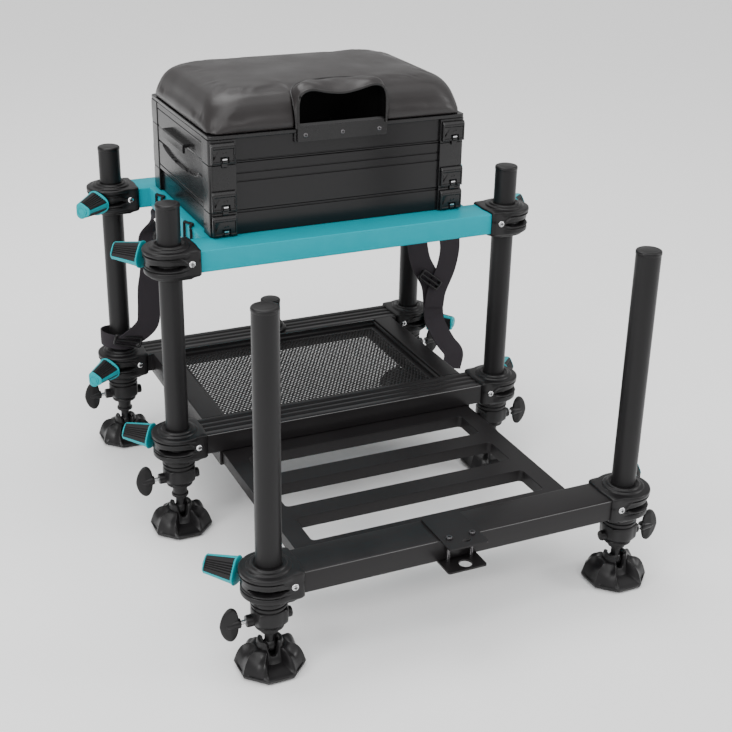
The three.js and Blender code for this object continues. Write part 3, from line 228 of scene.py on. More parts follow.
def spline(points: list, count: int) -> np.ndarray:
    """Smooth curve through points (Catmull-Rom), at equal steps of its length.

    Between p1 and p2: 0.5 (2 p1 + (p2 - p0) t + (2 p0 - 5 p1 + 4 p2 - p3) t^2
    + (3 p1 - p0 - 3 p2 + p3) t^3).

    Args:
        points: The points, n of d numbers.
        count: How many places come back.

    Returns:
        Array (count, d).
    """
    p = np.asarray(points, float)
    p = np.concatenate([2 * p[:1] - p[1:2], p, 2 * p[-1:] - p[-2:-1]])
    t = np.linspace(0, 1, 24, endpoint=False)[None, :, None]
    p0, p1, p2, p3 = (p[k : len(p) - 3 + k, None] for k in range(4))
    square, cube = 2 * p0 - 5 * p1 + 4 * p2 - p3, 3 * p1 - p0 - 3 * p2 + p3
    fine = 0.5 * (2 * p1 + (p2 - p0) * t + square * t**2 + cube * t**3)
    fine = np.concatenate([fine.reshape(-1, p.shape[1]), p[-2:-1]])
    gone = run_length(fine)
    at = np.linspace(0, gone[-1], count)
    return np.column_stack([np.interp(at, gone, column) for column in fine.T])


def unit(v: np.ndarray) -> np.ndarray:
    """Vectors divided by their length."""
    return v / np.maximum(np.linalg.norm(v, axis=-1, keepdims=True), 1e-9)


def swept(path: np.ndarray, sides: np.ndarray, section: np.ndarray) -> Shell:
    """A section carried along a path: place = path + u side + v normal, normal = ahead x side.

    Args:
        path: Array (n, 3).
        sides: Array (n, 3), the way the section's u points at each place.
        section: Array (m, 2) of (u, v).

    Returns:
        The swept shell, closed at both ends.
    """
    ahead = unit(np.gradient(path, axis=0))
    side = unit(sides - (sides * ahead).sum(1, keepdims=True) * ahead)
    normal = np.cross(ahead, side)
    u, v = section[None, :, :1], section[None, :, 1:]
    return loft(path[:, None] + u * side[:, None] + v * normal[:, None])


def round_tube(path: np.ndarray, radius: float) -> Shell:
    """A round bar of one radius along a path: ten places (r cos a, r sin a) off it.

    Args:
        path: Array (n, 3).
        radius: The bar's radius.

    Returns:
        The closed bar.
    """
    a = angles(10)
    steep = np.abs(unit(np.gradient(path, axis=0))[:, 2:]) > 0.9
    up = np.where(steep, [[1.0, 0, 0]], [[0, 0, 1.0]])
    return swept(path, up, radius * np.column_stack([np.cos(a), np.sin(a)]))


# Finishes


def add_node(tree: bpy.types.NodeTree, kind: str, **settings: object) -> bpy.types.Node:
    """A shader node with its settings, sockets by a name or number that starts with in_.

    Args:
        tree: The tree that gets it.
        kind: The node's type, without the ShaderNode that starts it.
        settings: Values, or output sockets to link to an input.

    Returns:
        The node.
    """
    node = tree.nodes.new("ShaderNode" + kind)
    for key, value in settings.items():
        if not key.startswith("in_"):
            setattr(node, key, value)
    for key, value in settings.items():
        if key.startswith("in_"):
            label = key.removeprefix("in_")
            socket = node.inputs[int(label) if label.isdigit() else label.replace("_", " ")]
            if isinstance(value, bpy.types.NodeSocket):
                tree.links.new(value, socket)
            else:
                socket.default_value = value
    return node


@dataclass
class EffectGroup:
    """A shader group that reads a Place and further inputs, and gives a Height and a Mottle."""

    name: str
    inputs: dict

    def __post_init__(self) -> None:
        """Makes the group's sockets: a tuple gives a vector input, a number a float input."""
        self.tree = bpy.data.node_groups.new(self.name, "ShaderNodeTree")
        new_socket = self.tree.interface.new_socket
        new_socket("Place", in_out="INPUT", socket_type="NodeSocketVector")
        for label, value in self.inputs.items():
            kind = "NodeSocketVector" if isinstance(value, tuple) else "NodeSocketFloat"
            new_socket(label, in_out="INPUT", socket_type=kind).default_value = value
        for label in ("Height", "Mottle"):
            new_socket(label, in_out="OUTPUT", socket_type="NodeSocketFloat")
        self.given = self.tree.nodes.new("NodeGroupInput").outputs
        self.gives = self.tree.nodes.new("NodeGroupOutput").inputs

    def noise(self, scale: object, detail: float, out: str = "Fac") -> bpy.types.NodeSocket:
        """Noise over the Place."""
        inputs = {"in_Vector": self.given["Place"], "in_Scale": scale, "in_Detail": detail}
        return add_node(self.tree, "TexNoise", **inputs).outputs[out]

    def maths(self, operation: str, *terms: object) -> bpy.types.NodeSocket:
        """A Math node over numbers and sockets."""
        inputs = {f"in_{k}": term for k, term in enumerate(terms)}
        return add_node(self.tree, "Math", operation=operation, **inputs).outputs[0]

    def done(
        self, height: bpy.types.NodeSocket, mottle: bpy.types.NodeSocket
    ) -> bpy.types.NodeTree:
        """Links the two outputs.

        Args:
            height: The relief.
            mottle: The mask that varies colour and roughness.

        Returns:
            The finished group.
        """
        self.tree.links.new(height, self.gives["Height"])
        self.tree.links.new(mottle, self.gives["Mottle"])
        return self.tree


class Effects:
    """Shader groups shared by the finishes. Each gives a height and a mask, and no shader."""

    _made: dict = {}

    @classmethod
    def get(cls, name: str) -> bpy.types.NodeTree:
        """The group of that name, made on first use.

        Args:
            name: The effect's name.

        Returns:
            The group.
        """
        if name not in cls._made:
            cls._made[name] = getattr(cls, "_" + name)()
        return cls._made[name]

    @staticmethod
    def _moulded() -> bpy.types.NodeTree:
        """Fine spark texture of moulded nylon: height = small noise + 0.3 of a larger noise.

        Returns:
            The group.
        """
        g = EffectGroup("moulded_texture", {"Scale": 900.0})
        fine, broad = g.noise(g.given["Scale"], 3.0), g.noise(28.0, 2.0)
        return g.done(g.maths("MULTIPLY_ADD", broad, 0.3, fine), broad)

    @staticmethod
    def _leather() -> bpy.types.NodeTree:
        """Leather grain: height = pebbles between Voronoi edges, bent by a noise, + 0.9 crease.

        Returns:
            The group.
        """
        g = EffectGroup("leather_grain", {"Scale": 420.0})
        bend = g.noise(90.0, 2.0, "Color")
        reach = (0.004, 0.004, 0.004)
        moved = add_node(
            g.tree, "VectorMath", operation="MULTIPLY_ADD", in_0=bend, in_1=reach,
            in_2=g.given["Place"],
        )
        cells = add_node(
            g.tree, "TexVoronoi", feature="DISTANCE_TO_EDGE", in_Vector=moved.outputs[0],
            in_Scale=g.given["Scale"],
        )
        pebble = add_node(
            g.tree, "MapRange", in_Value=cells.outputs["Distance"], in_From_Max=0.28
        )
        crease = g.noise(14.0, 4.0)
        return g.done(g.maths("MULTIPLY_ADD", crease, 0.9, pebble.outputs[0]), crease)

    @staticmethod
    def _weave() -> bpy.types.NodeTree:
        """Webbing: height = rib wave across U times slanted yarn wave along V, both triangular.

        Returns:
            The group.
        """
        g = EffectGroup("webbing_weave", {"Ribs": 11.0, "Yarns": 700.0})
        place = add_node(g.tree, "SeparateXYZ", in_Vector=g.given["Place"]).outputs
        rib = g.maths("PINGPONG", g.maths("MULTIPLY", place["X"], g.given["Ribs"]), 0.5)
        slant = g.maths("MULTIPLY_ADD", place["Y"], g.given["Yarns"], rib)
        height = g.maths("MULTIPLY", rib, g.maths("PINGPONG", slant, 0.5))
        return g.done(height, g.noise(9.0, 3.0))

    @staticmethod
    def _drawn() -> bpy.types.NodeTree:
        """Drawn metal: noise stretched along the bar, for faint lines in the anodised coat.

        Returns:
            The group.
        """
        g = EffectGroup("drawn_lines", {"Stretch": (20.0, 600.0, 600.0)})
        stretched = add_node(
            g.tree, "VectorMath", operation="MULTIPLY", in_0=g.given["Place"],
            in_1=g.given["Stretch"],
        )
        lines = add_node(
            g.tree, "TexNoise", in_Vector=stretched.outputs[0], in_Scale=1.0, in_Detail=2.0
        )
        return g.done(lines.outputs["Fac"], g.noise(11.0, 3.0))


@dataclass(frozen=True)
class Finish:
    """One material: a shader of set values, with a shared effect for its relief and mottle."""

    name: str
    colour: tuple
    roughness: float
    scale: tuple = ()
    metallic: float = 0.0
    effect: str = "moulded"
    relief: float = 0.1
    depth: float = 0.0002
    mottle: float = 0.25
    rough_spread: float = 0.1
    coat: float = 0.0
    coat_roughness: float = 0.1
    sheen: float = 0.0
    specular: float = 0.5
    by_uv: bool = False

    def material(self) -> bpy.types.Material:
        """The Blender material, made on first use.

        Returns:
            A node material: colour and roughness vary with the effect's mottle, the bump with
            its height.
        """
        known = bpy.data.materials.get(self.name)
        if known is not None:
            return known
        mat = bpy.data.materials.new(self.name)
        mat.use_nodes = True
        tree = mat.node_tree
        tree.nodes.clear()
        out = add_node(tree, "OutputMaterial")
        place = add_node(tree, "TexCoord").outputs["UV" if self.by_uv else "Object"]
        effect = add_node(tree, "Group", node_tree=Effects.get(self.effect), in_Place=place)
        if self.scale:
            effect.inputs[1].default_value = self.scale if len(self.scale) > 1 else self.scale[0]
        mottle, spread = effect.outputs["Mottle"], self.rough_spread / 2
        dark = tuple(c * (1 - self.mottle) for c in self.colour) + (1.0,)
        light = tuple(min(1.0, c * (1 + self.mottle)) for c in self.colour) + (1.0,)
        tint = add_node(tree, "Mix", data_type="RGBA", in_Factor=mottle, in_6=dark, in_7=light)
        rough = add_node(
            tree, "MapRange", in_Value=mottle, in_From_Min=0.3, in_From_Max=0.7,
            in_To_Min=max(0.03, self.roughness - spread),
            in_To_Max=min(1.0, self.roughness + spread),
        )
        bump = add_node(
            tree, "Bump", in_Strength=self.relief, in_Distance=self.depth,
            in_Height=effect.outputs["Height"],
        )
        shader = add_node(
            tree, "BsdfPrincipled", in_Metallic=self.metallic, in_Coat_Weight=self.coat,
            in_Coat_Roughness=self.coat_roughness, in_Sheen_Weight=self.sheen,
            in_Specular_IOR_Level=self.specular, in_Base_Color=tint.outputs[2],
            in_Roughness=rough.outputs["Result"], in_Normal=bump.outputs["Normal"],
        )
        tree.links.new(shader.outputs[0], out.inputs["Surface"])
        mat.diffuse_color = self.colour + (1.0,)
        return mat


class Finishes(Enum):
    """The finishes of the seat box."""

    TEAL_PAINT = Finish(
        "teal_powder_coat", (0.0, 0.29, 0.355), 0.4, (520.0,), relief=0.06, depth=0.0001,
        mottle=0.05, specular=0.1,
    )
    BLACK_TUBE = Finish(
        "black_anodised_tube", (0.011, 0.0105, 0.011), 0.38, (500.0, 500.0, 12.0),
        effect="drawn", relief=0.05, depth=0.0001, mottle=0.2, specular=0.22,
    )
    BLACK_BAR = Finish(
        "black_anodised_bar", (0.0115, 0.0105, 0.011), 0.34, (12.0, 500.0, 500.0),
        effect="drawn", relief=0.06, depth=0.0001, mottle=0.2, specular=0.24,
    )
    BLACK_PLATE = Finish(
        "black_anodised_plate", (0.0115, 0.0105, 0.011), 0.38, (300.0, 12.0, 300.0),
        effect="drawn", relief=0.05, depth=0.0001, mottle=0.2, specular=0.22,
    )
    NYLON = Finish(
        "black_glass_nylon", (0.0075, 0.007, 0.0075), 0.36, (1300.0,), relief=0.2,
        rough_spread=0.14, specular=0.28,
    )
    GRIP = Finish(
        "black_soft_grip", (0.0085, 0.008, 0.0085), 0.62, (1900.0,), relief=0.35, specular=0.3
    )
    TEAL_NYLON = Finish(
        "teal_moulded_nylon", (0.0, 0.305, 0.345), 0.36, (1200.0,), depth=0.00015, mottle=0.08,
        specular=0.15,
    )
    STEEL = Finish(
        "bright_screw_steel", (0.62, 0.62, 0.63), 0.22, (200.0, 200.0, 200.0), metallic=1.0,
        effect="drawn", relief=0.05, depth=0.00005, mottle=0.06,
    )
    # Bright metal strip along the bars' top front edge: a painted highlight.
    EDGE_HIGHLIGHT = Finish(
        "painted_edge_highlight", (0.16, 0.158, 0.16), 0.25, (30.0, 300.0, 300.0), metallic=0.8,
        effect="drawn", relief=0.05, depth=0.00005, mottle=0.3,
    )
    DARK_STEEL = Finish(
        "dark_screw_steel", (0.13, 0.125, 0.13), 0.26, (200.0, 200.0, 200.0), metallic=0.9,
        effect="drawn", relief=0.05, depth=0.00005, mottle=0.1,
    )
    # Near-black: painted shade in the screws' cross recesses, the hood's pocket and the sheet under
    # it.
    PAINTED_SHADE = Finish(
        "painted_recess_shade", (0.002, 0.002, 0.002), 0.85, (900.0,), mottle=0.1, specular=0.05
    )
    BOX_PANEL = Finish(
        "black_box_panel", (0.0075, 0.007, 0.0075), 0.24, (9.0, 9.0, 300.0), effect="drawn",
        relief=0.02, depth=0.00006, mottle=0.12, rough_spread=0.04, specular=0.32,
    )
    LATCH = Finish(
        "black_latch_moulding", (0.006, 0.0056, 0.006), 0.26, (1500.0,), depth=0.00015,
        mottle=0.2, specular=0.42,
    )
    LEATHER = Finish(
        "black_seat_leather", (0.0155, 0.0132, 0.0132), 0.38, (520.0,), effect="leather",
        relief=0.16, depth=0.0004, mottle=0.2, rough_spread=0.16, coat=0.06,
        coat_roughness=0.34, specular=0.4,
    )
    PIPING = Finish(
        "black_leather_piping", (0.010, 0.009, 0.009), 0.34, (900.0,), effect="leather",
        depth=0.0003, mottle=0.2, specular=0.4,
    )
    WEBBING = Finish(
        "black_webbing", (0.0065, 0.006, 0.0065), 0.8, effect="weave", relief=0.6,
        depth=0.0006, mottle=0.3, sheen=0.06, specular=0.2, by_uv=True,
    )
    CORD = Finish(
        "black_shock_cord", (0.007, 0.0065, 0.007), 0.7, (2400.0,), relief=0.6, depth=0.0004,
        mottle=0.3, sheen=0.05, specular=0.2,
    )


# Pieces


def to_row(points: np.ndarray) -> np.ndarray:
    """Millimetres of the building frame as metres of the row: (x, y + shift, z) / 1000."""
    return (np.asarray(points, float) + np.array([0, PLAN_SHIFT, 0])) / 1000


@dataclass
class Coat:
    """A shell with the finish that it wears, and its texture places (n, 2) if it has any."""

    shell: Shell
    finish: Finishes
    uv: np.ndarray | None = None


def piece(
    name: str,
    coats: list[Coat],
    body: str,
    replaces: tuple = (),
    bevel: float = 0.0,
    sharp: float = 32.0,
) -> bpy.types.Object:
    """A mesh object of one or more coats, riding on a body.

    Args:
        name: The piece's name.
        coats: Its shells and their finishes.
        body: The body that carries it.
        replaces: Solids that it stands for.
        bevel: Width of its rounded edges in millimetres, 0 for none.
        sharp: Edges steeper than this many degrees stay sharp, or get the bevel.

    Returns:
        The object.
    """
    whole = joined(*[c.shell for c in coats])
    mesh = bpy.data.meshes.new(name)
    faces = whole.quads.tolist() + whole.tris.tolist()
    mesh.from_pydata(to_row(whole.points).tolist(), [], faces)
    used = list(dict.fromkeys(c.finish for c in coats))
    for finish in used:
        mesh.materials.append(finish.value.material())
    marks = [np.full(len(c.shell.quads), used.index(c.finish)) for c in coats]
    marks += [np.full(len(c.shell.tris), used.index(c.finish)) for c in coats]
    mesh.polygons.foreach_set("material_index", np.concatenate(marks).astype(np.int32))
    if any(c.uv is not None for c in coats):
        layer = mesh.uv_layers.new(name="UVMap")
        corner = np.empty(len(mesh.loops), np.int32)
        mesh.loops.foreach_get("vertex_index", corner)
        places = [np.zeros((len(c.shell.points), 2)) if c.uv is None else c.uv for c in coats]
        places = np.concatenate(places)[corner].astype(np.float32)
        layer.data.foreach_set("uv", places.ravel())
    mesh.validate()
    mesh.shade_smooth()
    if not bevel:
        mesh.set_sharp_from_angle(angle=math.radians(sharp))
    obj = bpy.data.objects.new(name, mesh)
    bpy.context.scene.collection.objects.link(obj)
    if bevel:
        edge = obj.modifiers.new("rounded_edges", "BEVEL")
        edge.width = bevel / 1000
        edge.segments = 2
        edge.limit_method = "ANGLE"
        edge.angle_limit = math.radians(sharp)
        edge.harden_normals = True
    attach(obj, body)
    if replaces:
        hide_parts(*replaces)
    log.info("%s: %d points", name, len(whole.points))
    return obj


def moved_coats(
    coats: list[Coat], x: float, y: float, z: float, turn: np.ndarray | None = None
) -> list[Coat]:
    """Coats turned by a matrix, if one is given, and then moved by (x, y, z)."""
    shells = [c.shell if turn is None else c.shell.turned(turn) for c in coats]
    return [Coat(s.moved(x, y, z), c.finish, c.uv) for s, c in zip(shells, coats)]


def pan_screw(radius: float, height: float, metal: Finishes = Finishes.STEEL) -> list[Coat]:
    """A pan head with a cross recess, its seat on z = 0, pointing to +Z.

    The head's profile is (radius cos^0.7 a, height sin a).

    Args:
        radius: Radius of the head.
        height: Its height.
        metal: The head's finish.

    Returns:
        The coats of the head and its cross recess, which is painted near-black as shade.
    """
    a = np.linspace(0, math.pi / 2, 7)
    profile = [(radius * 0.96, -0.5), *zip(radius * np.cos(a) ** 0.7 + 0.01, height * np.sin(a))]
    # The cross is a near-black slab on the head: painted shade in place of a cut recess.
    arm, thin, low, top = radius * 0.5, radius * 0.13, height * 0.8, height + 0.06
    cross = joined(
        slab(-arm, arm, -thin, thin, low, top), slab(-thin, thin, -arm, arm, low, top - 0.02)
    )
    return [Coat(lathe(profile, 24), metal), Coat(cross, Finishes.PAINTED_SHADE)]


@dataclass(frozen=True)
class LegPlace:
    """Where a leg stands and which way its clamp knobs point."""

    name: str
    x: float
    y: float
    knob_side: int = 1

    @property
    def side(self) -> int:
        """1 on the right and -1 on the left."""
        return 1 if self.x > 0 else -1


MAIN_LEGS = (
    LegPlace("front_left", -LEG_X, 0),
    LegPlace("front_right", LEG_X, 0),
    LegPlace("rear_left", -LEG_X, REAR_Y, -1),
    LegPlace("rear_right", LEG_X, REAR_Y, -1),
)
STEP_LEGS = (
    LegPlace("footplate_left", -STEP_X, STEP_Y),
    LegPlace("footplate_right", STEP_X, STEP_Y),
)


@dataclass
class Clamp:
    """Corner clamp: round collar and body on the leg that run into a square lug on the bar."""

    disc: float = 41.0
    lug: float = 40.0
    half_width: float = 35.5
    bore: float = 18.15
    facets: int = 144
    slot_level: float = 14.8
    slot_half: float = 4.0
    slot_span: float = 0.8
    slot_middle: float = -112.0
    slot_depth: float = 10.0
    screw_in: float = 24.0
    screw_level: float = 17.5

    def lug_reach(self, a: np.ndarray) -> np.ndarray:
        """Distance from the leg's axis to the square lug in each direction, 1 away from the bar.

        r = ((cos a / lug)^14 + (|sin a| / half_width)^14)^(-1/14), a square with soft corners.

        Args:
            a: The directions.

        Returns:
            The distances.
        """
        c, s, p = np.cos(a), np.abs(np.sin(a)), 14.0
        square = ((np.maximum(c, 1e-3) / self.lug) ** p + (s / self.half_width) ** p) ** (-1 / p)
        return np.where(c > 0.02, square, 1.0)

    def profile(self) -> np.ndarray:
        """The moulding's outline from the bottom up and down the bore.

        Returns:
            Rows (radius, height, reach of the square lug); a pair reaches the whole lug.
        """
        disc, bore = self.disc, self.bore
        rows = [
            (29.5, -7.0, 31.0), (31.8, -7.0, 36.0), (33.0, -5.8, 37.6), (33.4, -3.4, 38.4),
            (34.4, -2.4, 38.9), (38.0, -1.9, 39.4), (39.0, -0.9), (39.3, 0.8), (39.1, 4.6),
            (38.6, 6.0), (36.9, 6.7), (36.6, 7.8), (38.5, 8.6), (38.9, 9.6), (38.7, 10.4),
            (38.0, 11.0), (37.6, 11.6), *[(37.5, z) for z in np.arange(12.3, 18.5, 0.6)],
            (37.6, 19.0), (37.9, 20.4), (38.0, 23.4), (38.1, 25.0), (38.6, 25.8), (40.2, 26.4),
            (40.5, 27.6), (39.6, 28.4), (38.2, 28.9), (38.0, 29.6), (39.8, 30.3),
            (disc - 0.3, 30.9), (disc, 32.0), (disc, 34.6), (disc - 0.4, 35.9, 39.7),
            (disc - 1.6, 36.8, 38.8), (disc - 3.2, 37.1, 37.0), (33.0, 37.3, 33.0),
            (31.4, 37.5, 31.3), (30.9, 38.2, 30.9), (30.5, 39.4, 30.5), (29.3, 40.0, 29.3),
            (26.0, 40.1, 26.0), (25.2, 40.6, 25.2), (24.8, 42.0, 24.8), (24.0, 42.8, 24.0),
            (21.4, 43.0, 21.4), (20.6, 42.6, 20.6), (20.2, 41.9, 20.2), (18.9, 41.8, 18.9),
            (bore, 41.6, bore), (bore, -6.6, bore), (20.0, -7.0, 20.0),
        ]
        return np.array([row if len(row) == 3 else (*row, self.lug) for row in rows])

    def shell(self) -> Shell:
        """The moulding about the leg's axis, heights from the bar's underside, bar towards +X.

        Place (k, a) = (r cos a, r sin a, z_k - sweep): r is the power mean of the round radius
        and the lug's, less the slot, a lens of half height h sqrt(1 - (angle / 0.8)^2), plus a
        lip of 1.2 mm under the slot; the band under the disc sweeps down beside the screw.

        Returns:
            The closed shell.
        """
        table, a = self.profile(), angles(self.facets)[None, :]
        round_r, z, square_r = (table[:, k : k + 1] for k in range(3))
        lug = self.lug_reach(a) * (square_r / self.lug)
        lug = np.where(square_r < 38.0, np.minimum(lug, square_r + 3.0), lug)
        lug = np.where(square_r < 31.5, 1.0, lug)
        r = (round_r**40 + lug**40) ** (1 / 40)
        off = np.abs((a - math.radians(self.slot_middle) + math.pi) % TAU - math.pi)
        half = self.slot_half * np.sqrt(np.clip(1 - (off / self.slot_span) ** 2, 0, 1))
        outside = (round_r > self.bore + 6) & (z < 24)
        cut = smooth_step(half - np.abs(z - self.slot_level), -0.1, 0.7)
        lip = np.exp(-(((z - 9.4) / 1.7) ** 2)) * (1 - smooth_step(off, 0.5, 0.95))
        r = r + np.where(outside, 1.2 * lip - self.slot_depth * cut, 0)
        band = np.exp(-(((z - 27.6) / 2.3) ** 2)) * (round_r > 37)
        sweep = 8.0 * smooth_step(np.cos(a), 0.06, 0.46) * band
        return loft(about_z(r, z - sweep * (np.abs(np.sin(a)) > 0.2), a), ends=False, loop=True)

    def coats(self, leg: LegPlace, underside: float) -> list[Coat]:
        """The clamp in place on a leg, with its screw on the face towards -Y.

        Args:
            leg: The leg that it grips.
            underside: Height of the bar's underside.

        Returns:
            The coats of the moulding and the screw.
        """
        shell = self.shell().mirrored() if leg.side > 0 else self.shell()
        x, y = leg.x - leg.side * self.screw_in, leg.y - self.half_width - 0.1
        screw = moved_coats(pan_screw(5.4, 2.6), x, y, underside + self.screw_level, TO_FRONT)
        return [Coat(shell.moved(leg.x, leg.y, underside), Finishes.NYLON), *screw]


@dataclass
class ClampKnob:
    """Knob of a clamp: teal flange, three-cornered tapered grip with ribbed panels, end disc."""

    start: float = 44.3
    dish: float = 22.0
    root: float = 20.8
    tip: float = 14.2
    length: float = 49.5
    height: float = 17.0
    facets: int = 216
    flat: float = 0.8

    @staticmethod
    def off_corner(a: np.ndarray) -> np.ndarray:
        """Angle of a from the nearest of three corners, between -60 and 60 degrees."""
        return (a + math.pi / 3) % (TAU / 3) - math.pi / 3

    def section(self, w: np.ndarray) -> np.ndarray:
        """Circle cut by three flats: r = ((cos(pi/3 - |w|) / flat)^14 + 1)^(-1/14)."""
        side = np.cos(math.pi / 3 - np.abs(w)) / self.flat
        return (side**14 + 1) ** (-1 / 14)

    def grip(self) -> list[Coat]:
        """The grip along +X with a corner upwards: black ribbed panels in a teal frame.

        Place (k, a) has the radius R(t) section(a) less the panels' sink and ribs; R runs
        straight from root to tip and draws in by a quarter ellipse over the last 4 %.

        Returns:
            The coats of the panels and the frame.
        """
        a = angles(self.facets)[None, :]
        t = [0.0, 0.0, 0.012, 0.022, 0.034, 0.2, 0.4, 0.6, 0.8, 0.945, 0.953, 0.962, 0.972, 0.982]
        t = np.array([*t, 0.991, 1.0])[:, None]
        w = np.abs(self.off_corner(a))
        size = self.root + (self.tip - self.root) * t
        size = size - 2.2 * (1 - np.sqrt(1 - np.clip((t - 0.96) / 0.04, 0, 1) ** 2))
        size[0] = self.root - 6
        along = smooth_step(t, 0.022, 0.034) * (1 - smooth_step(t, 0.945, 0.953))
        panel = smooth_step(w, 0.17, 0.2) * along
        groove = (1 - np.abs(np.sin((w - math.pi / 3) * 13.5))) ** 2
        sink = 0.4 + 1.9 * groove * smooth_step(w, 0.34, 0.42)
        x = self.start + 2.4 + t * (self.length - 2.4)
        rings = about_z(size * self.section(w) - panel * sink, x, a)
        shell = loft(rings[:, ::-1, ::-1].copy())
        row, column = divmod(np.arange(len(shell.quads)), self.facets)
        turn = (self.facets - 1 - column) * TAU / self.facets
        teal = (np.abs(self.off_corner(turn)) < 0.185) | (row < 4) | (row > 8)
        return [
            Coat(Shell(shell.points, shell.quads[~teal]), Finishes.GRIP),
            Coat(Shell(shell.points, shell.quads[teal], shell.tris), Finishes.TEAL_NYLON),
        ]

    def flange(self) -> Shell:
        """The teal flange under the grip: rows (radius, x), r = radius (0.3 + 0.7 section(a)).

        Returns:
            The closed flange.
        """
        d = self.dish
        rows = [(9.0, -0.2), (d - 2.6, 0), (d - 0.9, 0.4), (d - 0.2, 1.0), (d, 1.6)]
        rows = np.array([*rows, (d - 0.2, 2.3), (d - 0.8, 2.7), (6.0, 2.8)])
        a = angles(self.facets // 3)[None, :]
        r = rows[:, :1] * (0.3 + 0.7 * self.section(self.off_corner(a)))
        return loft(about_z(r, self.start + rows[:, 1:], a)[:, ::-1, ::-1].copy())

    def coats(self, leg: LegPlace, underside: float) -> list[Coat]:
        """The knob in place: built along +X, turned to 45 degrees off the bar.

        Args:
            leg: The leg whose clamp it tightens.
            underside: Height of the bar's underside.

        Returns:
            The coats of flange, grip, end disc and stud.
        """
        s, e = self.start, self.start + self.length
        disc = [(9.2, -1.0), (9.0, 0.3), (8.3, 1.3), (7.2, 1.4), (6.8, 0.7), (5.4, 0.6), (5.0, 1.2)]
        disc = spindle([(r, e + x) for r, x in [*disc, (0.5, 1.3)]], 40)
        coats = [
            Coat(self.flange(), Finishes.TEAL_NYLON), *self.grip(),
            Coat(disc, Finishes.TEAL_NYLON),
            Coat(spindle([(4.0, s - 10.5), (4.0, s + 0.5)], 24), Finishes.DARK_STEEL),
        ]
        twist = math.radians(-5.0 if leg.knob_side > 0 else -30.0)
        c, n = math.cos(twist), math.sin(twist)
        roll = np.array([[1, 0, 0], [0, c, n], [0, -n, c]])
        angle = leg.knob_side * 45.0 if leg.side > 0 else 180.0 - leg.knob_side * 45.0
        c, n = math.cos(math.radians(angle)), math.sin(math.radians(angle))
        turn = np.array([[c, -n, 0], [n, c, 0], [0, 0, 1]]) @ roll
        return moved_coats(coats, leg.x, leg.y, underside + self.height, turn)


def clamped(prefix: str, leg: LegPlace, underside: float, body: str, node: str = "") -> None:
    """The clamp of a leg on a bar.

    Args:
        prefix: The clamp's level in its name, such as upper.
        leg: The leg.
        underside: Height of the bar's underside.
        body: The body that carries the clamp.
        node: The solid that the clamp stands for, if it has one of its own.
    """
    level = f"{prefix}_" if prefix else ""
    stands_for = (node,) if node else ()
    coats = Clamp().coats(leg, underside)
    piece(f"collar_clamp_{level}{leg.name}", coats, body, stands_for, sharp=50)


def knobbed(name: str, leg: LegPlace, underside: float) -> None:
    """The clamp knob of that name, on the body of the same name."""
    coats = ClampKnob().coats(leg, underside)
    piece(f"grip_{name}", coats, name, (name,), sharp=44)


